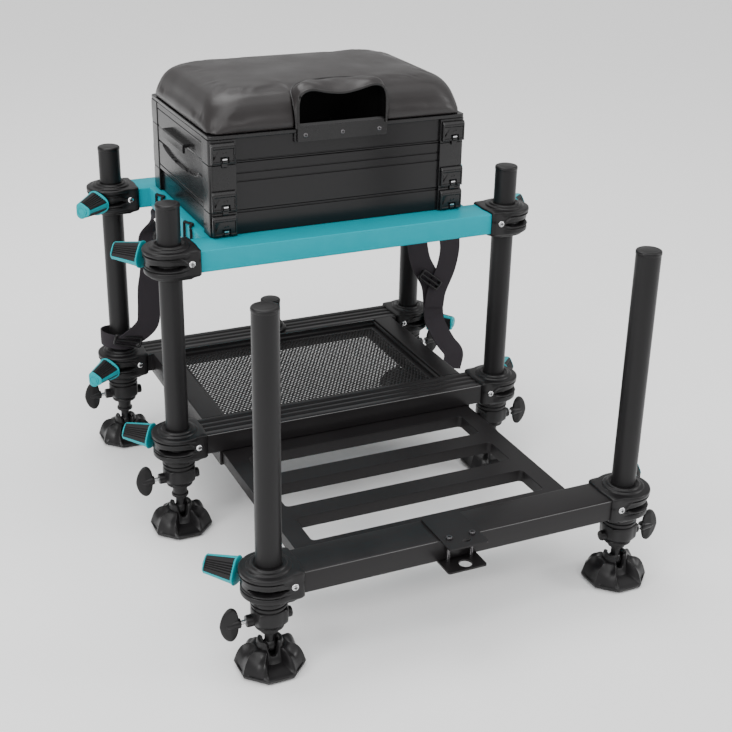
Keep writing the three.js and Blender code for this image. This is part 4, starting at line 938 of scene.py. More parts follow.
@dataclass
class Leg:
    """A leg: tube with its cap, adjuster sleeve, wing screw, stem and mud foot."""

    place: LegPlace
    sleeve_top: float
    tube_top: float
    radius: float = 18.0
    wing_level: float = 36.0
    stem_bore: float = 12.6
    foot_radius: float = 50.0
    rim: float = 7.2

    def cap(self) -> Shell:
        """Cap pushed into the tube's end: a fine groove, a straight brim and a nearly flat top.

        Returns:
            The cap about Z, at the tube's top.
        """
        rows = [
            (-0.5, -1.2), (-0.6, -0.1), (0.3, 0.2), (0.55, 0.7), (0.55, 3.4), (0.3, 4.6),
            (-0.5, 5.6), (-1.8, 6.2), (-3.6, 6.4), (-4.6, 6.2), (-5.6, 6.4), (-9.0, 6.7),
            (0.4 - self.radius, 6.9),
        ]
        return lathe([(self.radius + r, self.tube_top + z) for r, z in rows], 64)

    def tube(self) -> Shell:
        """The tube, from inside the sleeve up to its cap, with the stem's bore in its lower end.

        Returns:
            The tube about Z.
        """
        low, bore, r = self.sleeve_top - 20, self.stem_bore, self.radius
        rows = [(0.5, low + 90), (bore, low + 90), (bore, low), (r, low), (r, self.tube_top)]
        return lathe(rows, 64)

    def sleeve(self) -> Shell:
        """Adjuster sleeve: two rings, a waist, a body with four side ribs and a tapered foot.

        r = R(z) + 2.2 rib max(0, -cos 4a)^3, where rib is the row's third number.

        Returns:
            The open sleeve about Z.
        """
        rows = [
            (12.2, -50.0), (18.5, -50.0), (20.6, -49.2), (21.0, -47.4), (20.6, -45.6),
            (19.8, -44.6), (21.4, -43.6), (24.6, -41.0, 0.4), (25.4, -38.6, 1.0),
            (25.8, -34.0, 1.0), (25.8, -24.0, 1.0), (25.6, -20.0, 1.0), (25.0, -18.2, 0.6),
            (23.6, -17.4), (23.4, -15.4), (24.4, -14.6), (25.6, -14.2), (26.1, -12.6),
            (25.6, -11.2), (23.9, -10.6), (23.7, -9.2), (24.6, -8.6), (26.2, -8.0), (26.7, -6.0),
            (26.7, -2.4), (25.9, -0.9), (24.0, -0.3), (18.1, -0.2),
        ]
        rows = np.array([row if len(row) == 3 else (*row, 0.0) for row in rows])
        a = angles(96)[None, :]
        r = rows[:, :1] + rows[:, 2:] * 2.2 * np.maximum(0, np.cos(4 * a + math.pi)) ** 3
        return loft(about_z(r, self.sleeve_top + rows[:, 1:2], a), ends=False)

    def bosses(self) -> Shell:
        """Round bosses on both sides of the sleeve for the wing screw and its stop.

        Returns:
            Both bosses at their height, the screw's on the outer side.
        """
        long = spindle([(8.6, 20.0), (8.6, 31.0), (8.0, 33.6), (6.8, 34.0), (3.4, 34.0)], 32)
        short = spindle([(8.0, 20.0), (8.0, 29.6), (7.2, 31.6), (5.6, 32.0), (0.5, 32.0)], 32)
        both = joined(long, short.mirrored())
        both = both if self.place.side > 0 else both.mirrored()
        return both.moved(0, 0, self.sleeve_top - self.wing_level)

    def wing(self) -> list[Coat]:
        """Wing screw: steel stud, hub and an oval grip plate with a fold down its middle.

        The plate's outline is the ellipse (13.4 cos u, 26.4 sin u) about x = 57.6; over the share q
        of the way out, its half thickness is 3.9 - 1.5 q^2 + exp(-(x' / 4.5)^2) less the rim's
        rounding and a scallop of 0.9 mm above and below the hub, and both sides bend by 0.1 |z|.

        Returns:
            The coats of stud, hub and plate.
        """
        stud = spindle([(3.0, 22.0), (3.0, 46.5)], 20)
        rows = [(4.0, 41.6), (6.6, 41.8), (7.2, 43.0), (7.2, 46.0), (6.6, 50.0), (6.0, 58.0)]
        hub = spindle([*rows, (4.6, 62.0), (0.5, 63.0)], 32)
        u = angles(56)[None, :]
        q = np.array([0.02, 0.25, 0.5, 0.7, 0.85, 0.94, 0.985, 1.0])[:, None]
        px, pz = 13.4 * q * np.cos(u), 26.4 * q * np.sin(u)
        rim = np.sqrt(np.clip(1 - ((q - 0.85).clip(0) / 0.15) ** 2, 0, 1))
        half = (3.9 - 1.5 * q**2 + np.exp(-((px / 4.5) ** 2))) * rim
        half = half - 0.9 * np.exp(-(((np.abs(pz) - 14) / 7) ** 2) - (((px + 1) / 8) ** 2))
        x = 57.6 + px - 0.1 * np.abs(pz)
        near, far = np.stack([x, half, pz], axis=-1), np.stack([x, -half, pz], axis=-1)
        wings = loft(np.concatenate([far, near[::-1][1:]])[:, ::-1].copy())
        coats = [
            Coat(stud, Finishes.STEEL), Coat(hub, Finishes.NYLON), Coat(wings, Finishes.NYLON)
        ]
        turn = None if self.place.side > 0 else MIRROR_X
        z = self.sleeve_top - self.wing_level
        return moved_coats(coats, self.place.x, self.place.y, z, turn)

    def stem(self) -> Shell:
        """Stem: smooth shaft, flange, neck and ball, its rows (10.6 cos a, 35 + 10.6 sin a).

        Returns:
            The stem about Z.
        """
        ball = [
            (10.6 * math.cos(a), 35 + 10.6 * math.sin(a)) for a in np.linspace(-1.45, 0.82, 16)
        ]
        rest = [
            (7.2, 44.0), (7.2, 57.4), (9.4, 58.4), (13.2, 59.2), (13.6, 60.4), (13.6, 62.6),
            (13.0, 63.8), (11.5, 64.3), (11.5, 100.0),
        ]
        return lathe(ball + rest)

    def foot(self) -> Shell:
        """Mud foot: eight petals with ridges between them, low in front and behind the ball.

        The rim is the octagon 50 cos(pi/8) / cos(a mod pi/4), 7.2 mm off the ground over an
        undercut edge. Each row gives the share rho of the way out, the height of the lobes and
        that of the channel. Where |cos a| is small, in the front and rear sectors, the channel
        holds, and elsewhere height = lobe less a valley between the ridges.

        Returns:
            The foot and its sole, about Z.
        """
        a = angles(192, math.pi / 8)[None, :]
        wedge = (a - math.pi / 8) % (math.pi / 4) - math.pi / 8
        octagon = math.cos(math.pi / 8) / np.cos(wedge)
        rows = np.array([
            (0.83, 0.0, 0.0), (0.9, 0.8, 0.8), (0.965, 3.0, 3.0), (1.0, 7.2, 7.2),
            (0.985, 10.2, 8.2), (0.96, 13.8, 8.8), (0.93, 18.4, 9.4), (0.89, 23.4, 10.0),
            (0.85, 27.2, 10.8), (0.8, 31.0, 11.8), (0.75, 33.4, 12.8), (0.7, 35.2, 13.8),
            (0.65, 36.3, 14.8), (0.6, 37.0, 15.6), (0.56, 37.2, 16.2), (0.52, 37.3, 16.8),
            (0.48, 37.2, 17.4), (0.44, 37.0, 18.0), (0.4, 36.6, 18.6), (0.36, 34.0, 19.4),
            (0.3, 26.0, 20.0),
        ])
        rho, lobe, channel = (rows[:, k : k + 1] for k in range(3))
        side = smooth_step(np.abs(np.cos(a)), 0.38, 0.52)
        high = channel + (lobe - channel) * side
        ridge = np.abs(wedge) / (math.pi / 8)
        inner, outer = smooth_step(rho, 0.44, 0.68), 1 - smooth_step(rho, 0.95, 1.0)
        valley = 8.2 * (1 - ridge**1.7) * inner * outer * side
        z = np.where(lobe > self.rim, np.maximum(high - valley, self.rim), lobe)
        r = self.foot_radius * rho * (1 - (1 - octagon) * (0.25 + 0.75 * rho))
        rings = about_z(r, z, a)
        sole = loft(np.stack([rings[0] * np.array([0.02, 0.02, 1.0]), rings[0]]), ends=False)
        return joined(loft(rings, ends=False), sole)

    def socket(self) -> Shell:
        """Socket round the ball: a cup with two horns, cut down in front and behind.

        Top edge height = 46.5 - 21 exp(-(cos a / 0.5)^4). Each row gives a radius, the share of
        the way from the base to the top edge, and the base's height.

        Returns:
            The cup and its floor, about Z.
        """
        a = angles(96)[None, :]
        top = 46.5 - 21.0 * np.exp(-((np.cos(a) / 0.5) ** 4))
        rows = np.array([
            (24.0, 0.0, 17.0), (21.6, 0.3, 17.0), (19.6, 0.6, 17.0), (18.2, 0.86, 17.0),
            (17.2, 0.97, 17.0), (16.2, 1.0, 17.0), (13.4, 1.0, 17.0), (12.0, 0.96, 17.0),
            (11.4, 0.85, 17.0), (11.3, 0.5, 16.5), (11.3, 0.2, 16.0), (11.3, 0.0, 15.5),
        ])
        radius, share, base = (rows[:, k : k + 1] for k in range(3))
        cup = loft(about_z(radius, base + (top - base) * share, a), ends=False)
        return joined(cup, lathe([(6.0, 15.0), (11.3, 15.5)], 96))

    def build(self) -> None:
        """Makes the leg's pieces on their four bodies."""
        n, at = self.place.name, (self.place.x, self.place.y)
        nylon, tube = Finishes.NYLON, Coat(self.tube().moved(*at), Finishes.BLACK_TUBE)
        sleeve, foot = joined(self.sleeve(), self.bosses()), joined(self.foot(), self.socket())
        stem = [Coat(self.stem().moved(*at), nylon)]
        tube_coats, black = [tube, Coat(self.cap().moved(*at), nylon)], "black_nylon"
        piece(f"leg_tube_{n}", tube_coats, f"leg_{n}", (f"leg_{n}",), sharp=40)
        piece(f"adjuster_{n}", [Coat(sleeve.moved(*at), nylon)], f"leg_{n}", sharp=40)
        piece(f"wing_{n}", self.wing(), f"wing_screw_{n}", (f"wing_screw_{n}",), sharp=40)
        piece(f"ball_stem_{n}", stem, f"stem_{n}", (f"stem_{n}",))
        foot_coats = [Coat(foot.moved(*at), nylon)]
        piece(f"mud_foot_{n}", foot_coats, f"foot_{n}", (f"foot_{n}",), sharp=28)


@dataclass
class Bar:
    """A flat bar's section: width, thickness, corner radius and the grooves in its top."""

    width: float = 60.0
    thick: float = 34.0
    corner: float = 2.2
    top_grooves: int = 0
    groove_pitch: float = 14.5

    def section(self) -> np.ndarray:
        """The section as (y, z), anticlockwise from the lower front corner, z from the underside.

        Corners are quarter circles; a groove is a round-edged trapezium 1.8 mm deep.

        Returns:
            Array (n, 2).
        """
        h, t, c = self.width / 2, self.thick, self.corner
        quarter = np.linspace(0, math.pi / 2, 5)

        def arc(cy: float, cz: float, start: float) -> list:
            """A corner's quarter circle."""
            return [(cy + c * math.cos(start + q), cz + c * math.sin(start + q)) for q in quarter]

        pts = arc(-h + c, c, math.pi) + arc(h - c, c, 1.5 * math.pi) + arc(h - c, t - c, 0.0)
        fall = [(4.2, 0), (3.7, 0.25), (3.1, 1.5), (2.6, 1.8)]
        for i in reversed(range(self.top_grooves)):
            m = (i - (self.top_grooves - 1) / 2) * self.groove_pitch
            pts += [(m + y, t - z) for y, z in fall] + [(m - y, t - z) for y, z in fall[::-1]]
        return np.array(pts + arc(-h + c, t - c, 0.5 * math.pi))

    def run_x(self, half: float, y: float, z: float) -> Shell:
        """The bar along X, from -half to half, its middle line at y and underside at z."""
        return prism(self.section(), -half, half, "x").moved(0, y, z)

    def edged_x(self, half: float, y: float, z: float) -> list[Coat]:
        """A black bar along X with a bright metal line along its top front edge, painted as the
        edge's highlight.

        Args:
            half: Half its length.
            y: Its middle line.
            z: Its underside.

        Returns:
            The coats of the bar and its painted highlight line.
        """
        shell = self.run_x(half, y, z)
        # The quad at the top front corner wears bright metal: a painted highlight.
        highlight_band = np.arange(len(shell.quads)) == len(shell.quads) - 3
        return [
            Coat(Shell(shell.points, shell.quads[~highlight_band], shell.tris), Finishes.BLACK_BAR),
            Coat(Shell(shell.points, shell.quads[highlight_band]), Finishes.EDGE_HIGHLIGHT),
        ]

    def rails(self, x: float, z: float, y0: float = 29.6, y1: float = 310.4) -> Shell:
        """Two bars along Y, left and right, from y0 to y1.

        Args:
            x: Distance of their middle lines from the middle.
            z: Their underside.
            y0: Where they start.
            y1: Where they end.

        Returns:
            Both bars.
        """
        outline = self.section()
        shell = prism(np.column_stack([outline[:, 1], -outline[:, 0]]), y0, y1, "y")
        return joined(shell.moved(-x, 0, z), shell.moved(x, 0, z))


@dataclass
class Frames:
    """The teal upper frame, the ribbed lower frame, the tray, the rear post and their clamps."""

    half_bar: float = 260.0
    upper_rail_x: float = 208.0
    lower_rail_x: float = 217.0
    mesh_pitch: float = 6.6
    tray_level: float = 158.4
    tray_half_x: float = 198.6
    tray_y: tuple = (30.4, 309.6)

    def build(self) -> None:
        """Makes the frames' pieces."""
        teal, rail = Bar(corner=2.0), Bar(width=36.0, corner=2.0)
        bars = [teal.run_x(self.half_bar, y, UPPER_BAR) for y in (0, REAR_Y)]
        upper = joined(*bars, rail.rails(self.upper_rail_x, UPPER_BAR))
        piece(
            "teal_frame", [Coat(upper, Finishes.TEAL_PAINT)], "root", ("upper_frame",)
        )
        ribbed = Bar(top_grooves=3, corner=2.4)
        coats = [c for y in (0, REAR_Y) for c in ribbed.edged_x(self.half_bar, y, LOWER_BAR)]
        coats.append(Coat(rail.rails(self.lower_rail_x, LOWER_BAR), Finishes.BLACK_PLATE))
        piece("ribbed_frame", coats, "root", ("lower_frame",))
        guide = [(138.2, 224.8), (113.4, 224.8), (113.4, 207.8), (116.4, 207.8), (116.4, 221.8)]
        angle = prism(np.array([*guide, (138.2, 221.8)]), -28.0, 366.0, "y")
        coats = [Coat(joined(angle, angle.mirrored()), Finishes.BLACK_PLATE)]
        piece("footplate_guides", coats, "root", bevel=0.5)
        self.tray()
        self.post()
        for leg in MAIN_LEGS:
            clamped("upper", leg, UPPER_BAR, "root", f"upper_clamp_{leg.name}")
            clamped("lower", leg, LOWER_BAR, "root")
            knobbed(f"upper_knob_{leg.name}", leg, UPPER_BAR)
            knobbed(f"lower_knob_{leg.name}", leg, LOWER_BAR)

    def tray(self) -> None:
        """Mesh tray: a net of staggered six-sided holes with a plain border and a turned-up rim.

        Hole (i, j) is centred at (i + (j mod 2) / 2, 0.5 j sqrt 3) pitches; each cell is a ring
        of quads between the hole's six corners and the cell's hexagon.
        """
        p, z, (y0, y1) = self.mesh_pitch, self.tray_level, self.tray_y
        row_pitch, middle, margin = p * math.sqrt(3) / 2, (y0 + y1) / 2, 14
        cols = int((2 * self.tray_half_x - margin) / p)
        rows = int((y1 - y0 - margin) / row_pitch)
        i, j = np.meshgrid(np.arange(cols), np.arange(rows), indexing="xy")
        cx = (i + 0.5 * (j % 2) - (cols - 0.5) / 2) * p
        cy = (j - (rows - 1) / 2) * row_pitch + middle
        a = angles(6, math.pi / 6)
        outer = np.stack([np.cos(a), np.sin(a)], axis=-1) * (p / math.sqrt(3))
        centre = np.stack([cx, cy], axis=-1).reshape(-1, 1, 2)
        flat = np.concatenate([centre + outer, centre + outer * 0.6], axis=1)
        points = np.concatenate([flat, np.full(flat.shape[:2] + (1,), z)], axis=-1)
        k = np.arange(6)
        ring = np.stack([k, (k + 1) % 6, (k + 1) % 6 + 6, k + 6], axis=-1)
        quads = (ring[None] + 12 * np.arange(len(flat))[:, None, None]).reshape(-1, 4)
        net = [Coat(Shell(points.reshape(-1, 3), quads), Finishes.BLACK_PLATE)]
        self.thicken(piece("mesh_net", net, "root", ("mesh_tray",)), 1.2)
        inner_x, inner_y = (cols - 0.5) / 2 * p - 2.0, (rows - 1) / 2 * row_pitch - 1.0
        path = [(inner_x, inner_y, 0.0)]
        path += [(self.tray_half_x, (y1 - y0) / 2, rise) for rise in (0.0, 9.5)]
        corners = ((1, 1), (-1, 1), (-1, -1), (1, -1))
        rings = [[(sx * u, middle + sy * v, z + w) for sx, sy in corners] for u, v, w in path]
        border = [Coat(loft(np.array(rings), ends=False), Finishes.BLACK_PLATE)]
        self.thicken(piece("mesh_border", border, "root"), 1.4)

    @staticmethod
    def thicken(obj: bpy.types.Object, thick: float) -> None:
        """Merges doubles and gives an open sheet its thickness, half to each side.

        Args:
            obj: The sheet.
            thick: Its thickness in millimetres.
        """
        weld = obj.modifiers.new("welded", "WELD")
        weld.merge_threshold = 0.00005
        wall = obj.modifiers.new("sheet", "SOLIDIFY")
        wall.thickness = thick / 1000
        wall.offset = 0

    def post(self) -> None:
        """Rear post: capped stub of leg tube in a saddle collar on the rear bar."""
        top = 226.0
        collar = [
            (18.1, 172.2), (27.5, 172.2), (28.4, 173.2), (28.4, 176.4), (27.4, 177.6),
            (23.4, 178.6), (22.6, 180.2), (22.4, 184.2), (21.4, 185.2), (18.1, 185.4),
        ]
        cap = Leg(LegPlace("rear_post", 0, REAR_Y), 172.3, top).cap()
        tube = lathe([(18.0, 173.0), (18.0, top)], 64)
        coats = [
            Coat(tube, Finishes.BLACK_TUBE), Coat(cap, Finishes.NYLON),
            Coat(lathe(collar, 56), Finishes.NYLON),
        ]
        coats = moved_coats(coats, 0, REAR_Y, 0)
        piece("rest_post", coats, "root", ("rear_post",), sharp=40)


@dataclass
class Footplate:
    """Slotted footplate with its plain front bar, clamps and accessory bracket."""

    top: float = 137.2
    thick: float = 19.0
    half_x: float = 221.0
    slot_half_x: float = 190.0
    slot_half_y: float = 33.0
    slot_pitch: float = 101.0
    first_slot: float = 7.0
    ends: tuple = (75.0, -369.6)
    screw_y: float = -434.8

    def deck(self) -> Shell:
        """Deck: two rails and the slats between round-cornered slots, as welded grids.

        Each slot's edge follows the round rectangle; the plate between slots is the outline of
        the cell (its corners taken at the same angles as the slot's) lofted to the slot's edge,
        then down the slot's wall. The slot's top edge is eased by 0.8 mm.

        Returns:
            The deck.
        """
        ease, low = 0.8, self.top - self.thick
        slots = [self.first_slot - self.slot_pitch * i for i in range(4)]
        cuts = [(slots[i] + slots[i + 1]) / 2 for i in range(3)]
        cuts = [self.ends[0], *cuts, self.ends[1]]
        d = round_rect(self.slot_half_x, self.slot_half_y, 7.0)
        steep = np.abs(d[:, 1]) >= self.slot_half_y - 0.1
        flank = np.abs(d[:, 0]) >= self.slot_half_x - 0.1
        x = np.where(
            steep & ~flank, d[:, 0] * self.half_x / self.slot_half_x, np.sign(d[:, 0]) * self.half_x
        )
        shells = []
        for mid, high_y, low_y in zip(slots, cuts, cuts[1:]):
            share = (high_y + low_y) / 2 + (d[:, 1] / self.slot_half_y) * (high_y - low_y) / 2
            y = np.where(flank & ~steep, share, np.where(d[:, 1] > 0, high_y, low_y))
            edge, hole = np.column_stack([x, y]), d + np.array([0, mid])
            rings = tiers([
                (edge, low), (edge, self.top - ease), (edge, self.top),
                (hole + unit(d) * ease, self.top), (hole, self.top - ease), (hole, low),
            ])
            shells.append(loft(rings, ends=False, loop=True))
        return joined(*shells)

    def build(self) -> None:
        """Makes the footplate's pieces."""
        coats = Bar(corner=2.6).edged_x(258.0, STEP_Y, STEP_BAR)
        piece("footplate_bar", coats, "footplate", ("footplate_front_bar",))
        coats = [Coat(self.deck(), Finishes.BLACK_PLATE)]
        piece("slotted_deck", coats, "footplate", ("footplate_deck",))
        for leg in STEP_LEGS:
            clamped("", leg, STEP_BAR, "footplate")
            knobbed(f"clamp_knob_{leg.name}", leg, STEP_BAR)
        self.bracket()

    @staticmethod
    def pierced(outline: np.ndarray, hole: tuple, z0: float, z1: float) -> Shell:
        """A plate with one oval hole.

        Each corner of the outline has a place on the hole's rim in the same direction:
        middle + (hole_x cos a, hole_y sin a).

        Args:
            outline: Corners of the plate, anticlockwise.
            hole: Its half width and half depth.
            z0: Height of the underside.
            z1: Height of the top.

        Returns:
            The closed plate.
        """
        middle = np.array([-8.0, -447.0])
        away = outline - middle
        a = np.arctan2(away[:, 1], away[:, 0])
        rim = middle + np.column_stack([hole[0] * np.cos(a), hole[1] * np.sin(a)])
        return loft(tiers([(outline, z0), (outline, z1), (rim, z1), (rim, z0)]), False, loop=True)

    def bracket(self) -> None:
        """Accessory bracket: two pierced plates over and under the bar and two screws."""
        corners = round_rect(30.5, 45.5, 4.0, 8)
        step = np.linspace(0, 1, 7, endpoint=False)[:, None]
        outline = corners[:, None] * (1 - step) + np.roll(corners, -1, axis=0)[:, None] * step
        outline = outline.reshape(-1, 2) + np.array([-11.0, -415.5])
        plates = joined(
            self.pierced(outline, (6.5, 3.8), 159.3, 162.0),
            self.pierced(outline, (9.5, 9.5), 121.9, 124.6),
        )
        piece(
            "bracket_plates", [Coat(plates, Finishes.BLACK_PLATE)], "footplate",
            ("accessory_bracket",), sharp=30,
        )
        head = [(4.6, 162.0), (4.8, 163.0), (4.4, 165.4), (3.8, 165.9), (2.2, 165.9)]
        a = angles(6)
        screw = joined(
            lathe([(2.6, 119.0), (2.6, 162.0)], 16),
            lathe([*head, (2.0, 164.2), (0.3, 164.1)], 24),
            prism(np.column_stack([np.cos(a), np.sin(a)]) * 5.2, 118.4, 121.8),
        )
        coats = [Coat(screw.moved(x, self.screw_y, 0), Finishes.DARK_STEEL) for x in (-29.0, 7.0)]
        piece("bracket_screws", coats, "footplate", sharp=40)


Relief = Callable[[np.ndarray, np.ndarray], np.ndarray]


def relief_plate(
    x0: float, x1: float, z0: float, z1: float, high: Relief, step: float = 0.8
) -> Shell:
    """Plate in the XZ plane whose front, towards -Y, follows a height formula.

    Front place (i, j) = (x_i, -high(x_i, z_j), z_j); the grid's border is repeated at y = 0 as
    the plate's edge and closed behind with a fan to the middle.

    Args:
        x0: Left edge.
        x1: Right edge.
        z0: Lower edge.
        z1: Upper edge.
        high: Function of arrays x and z that gives the front's height.
        step: Spacing of the grid.

    Returns:
        The closed plate.
    """
    x = np.concatenate([[x0], np.linspace(x0, x1, int((x1 - x0) / step) + 1), [x1]])
    z = np.concatenate([[z0], np.linspace(z0, z1, int((z1 - z0) / step) + 1), [z1]])
    gx, gz = np.meshgrid(x, z)
    h = np.maximum(high(gx, gz), 0.05)
    h[0, :] = h[-1, :] = h[:, 0] = h[:, -1] = 0
    front = loft(np.stack([gx, -h, gz], axis=-1), ends=False, ring_closed=False)
    rows, cols = gx.shape
    number = np.arange(rows * cols).reshape(rows, cols)
    edge = np.concatenate([number[0], number[1:, -1], number[-1, -2::-1], number[-2:0:-1, 0]])
    middle = np.array([[(x0 + x1) / 2, 0.0, (z0 + z1) / 2]])
    fan = np.stack([np.roll(edge, -1), edge, np.full(len(edge), len(front.points))], axis=-1)
    return Shell(np.concatenate([front.points, middle]), front.quads, fan)


@dataclass
class BoxModule:
    """One module of the box: its height, the grooves across its panels and its corner posts."""

    name: str
    body: str
    bottom: float
    height: float
    grooves: tuple
    strip: tuple = ()
    half_x: float = 214.0
    half_y: float = 152.0
    corner: tuple = (43.0, 34.0)
    inset: float = 5.0
    gap: float = 0.15

    def panel_section(self, face: float) -> np.ndarray:
        """Panel's section as (depth, z): the front is at depth face, with grooves 1.3 deep.

        Args:
            face: Depth of the front.

        Returns:
            Array (n, 2).
        """
        z0, z1 = self.bottom + self.gap, self.bottom + self.height - self.gap
        pts = [(face + 4.0, z0), (face + 4.0, z1), (face + 0.8, z1), (face, z1 - 0.8)]
        for g in sorted(self.grooves, reverse=True):
            pts += [(face, g + 1.3), (face + 1.3, g + 0.5), (face + 1.3, g - 0.5), (face, g - 1.3)]
        return np.array([*pts, (face, z0 + 0.8), (face + 0.8, z0)])

    def panels(self) -> Shell:
        """Front, rear and side panels between the corner posts, or a strip beside a drawer.

        Returns:
            The four panels about the box's middle.
        """
        cx, cy = self.half_x - self.corner[0] + 3, self.half_y - self.corner[1] + 3
        front = prism(self.panel_section(-self.half_y + self.inset), -cx, cx, "x")
        section = self.panel_section(-self.half_x + self.inset)
        side = prism(section[::-1, ::-1], -cy, cy, "y")
        rear, right = front.turned(HALF_TURN), side.turned(HALF_TURN)
        if self.strip:
            low, high = self.strip
            edge, ease = 1.0 - self.half_x, 0.8
            outline = [(low, edge + ease), (low + ease, edge), (high - ease, edge)]
            outline += [(high, edge + ease), (high, edge + 7), (low, edge + 7)]
            side = prism(np.array(outline), -cy, cy, "y")
        return joined(front, rear, right, side)

    def posts(self) -> Shell:
        """Four corner posts: an L with a round outer corner.

        The outline is the outer rounded corner, then the inner corner set in by 6 mm.

        Returns:
            The posts about the box's middle.
        """
        (w, d), a, r = self.corner, np.linspace(0, math.pi / 2, 7), 7.0
        x, y = self.half_x, -self.half_y
        arc = np.column_stack([x - r + r * np.sin(a), y + r - r * np.cos(a)])
        inner = [(x, y + d), (x - 6, y + d), (x - w, y + 6)]
        outline = np.concatenate([[(x - w, y)], arc, inner])
        one = prism(outline, self.bottom + self.gap, self.bottom + self.height - self.gap)
        pair = joined(one, one.mirrored())
        return joined(pair, pair.turned(HALF_TURN))

    def build(self) -> None:
        """Makes the module's panels and posts."""
        panels = [Coat(self.panels().moved(0, BOX_Y), Finishes.BOX_PANEL)]
        posts = [Coat(self.posts().moved(0, BOX_Y), Finishes.LATCH)]
        node = (f"box_{self.name}_module",)
        piece(f"{self.name}_panels", panels, self.body, node, sharp=20)
        piece(f"{self.name}_posts", posts, self.body, bevel=0.8, sharp=40)


@dataclass
class Latch:
    """Latch of a corner: a cap with a sloping top, a wedge, a keyhole notch and a bright catch."""

    half: float = 19.0
    height: float = 31.0
    deep: float = 6.0
    keyhole: float = 2.0

    def relief(self, x: np.ndarray, z: np.ndarray) -> np.ndarray:
        """Height of the front at (x, z), z from the lower edge.

        It is the plate, sloped off over the top 4.5 mm, less a sunk field with a triangular wedge
        in its left, less the notch round the tongue, plus the tongue and two rivet heads, each
        step smoothed.

        Args:
            x: Places across the latch.
            z: Places up it.

        Returns:
            The heights.
        """
        base = self.deep - 3.2 * smooth_step(z, 26.5, 31.0)
        sunk = smooth_step(x, -16.5, -15.7) * (1 - smooth_step(x, 16.0, 16.8))
        sunk = sunk * smooth_step(z, 3.0, 3.8) * (1 - smooth_step(z, 22.5, 23.3))
        wedge = smooth_step(x, -15.5, -14.7)
        wedge = wedge * (1 - smooth_step(x + 0.55 * (22.5 - z), -7.0, -6.2))
        height = base - 1.9 * sunk - 1.1 * sunk * wedge * (22.5 - np.clip(z, 8, 22.5)) / 8
        off = np.abs(x - self.keyhole)
        notch = (1 - smooth_step(off, 6.2, 7.0)) * (1 - smooth_step(z, 9.2, 10.0))
        height = height - np.minimum(height - 1.2, 3.4) * notch
        tongue = (1 - smooth_step(off, 3.2, 4.0)) * (1 - smooth_step(z, 8.2, 9.0))
        height = height + 2.6 * notch * tongue
        for rivet_x, rivet_z in ((0, 15), (4.5, 15.8)):
            away = ((x - rivet_x) / 0.9) ** 2 + ((z - rivet_z) / 0.9) ** 2
            height = height + 0.7 * np.exp(-away)
        edge = np.minimum(np.minimum(x + self.half, self.half - x), z) / 1.2
        return height * (0.72 + 0.28 * np.clip(edge, 0, 1))

    def coats(self, hooked: bool) -> list[Coat]:
        """The latch about its middle, lower edge at z = 0, front towards -Y.

        Args:
            hooked: Adds the hook that hangs over the module below.

        Returns:
            Its coats.
        """
        plate = relief_plate(-self.half, self.half, 0, self.height, self.relief)
        catch = prism(round_rect(3.6, 1.1, 0.5, 2) + np.array([self.keyhole, 7.0]), 0, 1)
        catch = catch.turned(TO_FRONT).moved(0, -4.6, 0)
        coats = [Coat(plate, Finishes.LATCH), Coat(catch, Finishes.STEEL)]
        if hooked:
            hook = relief_plate(
                -2.2, 6.2, -7.0, 2.6, lambda x, z: 2.9 - 0.9 * (1 - smooth_step(z, -7, -4.5))
            )
            coats.append(Coat(hook, Finishes.LATCH))
        return coats


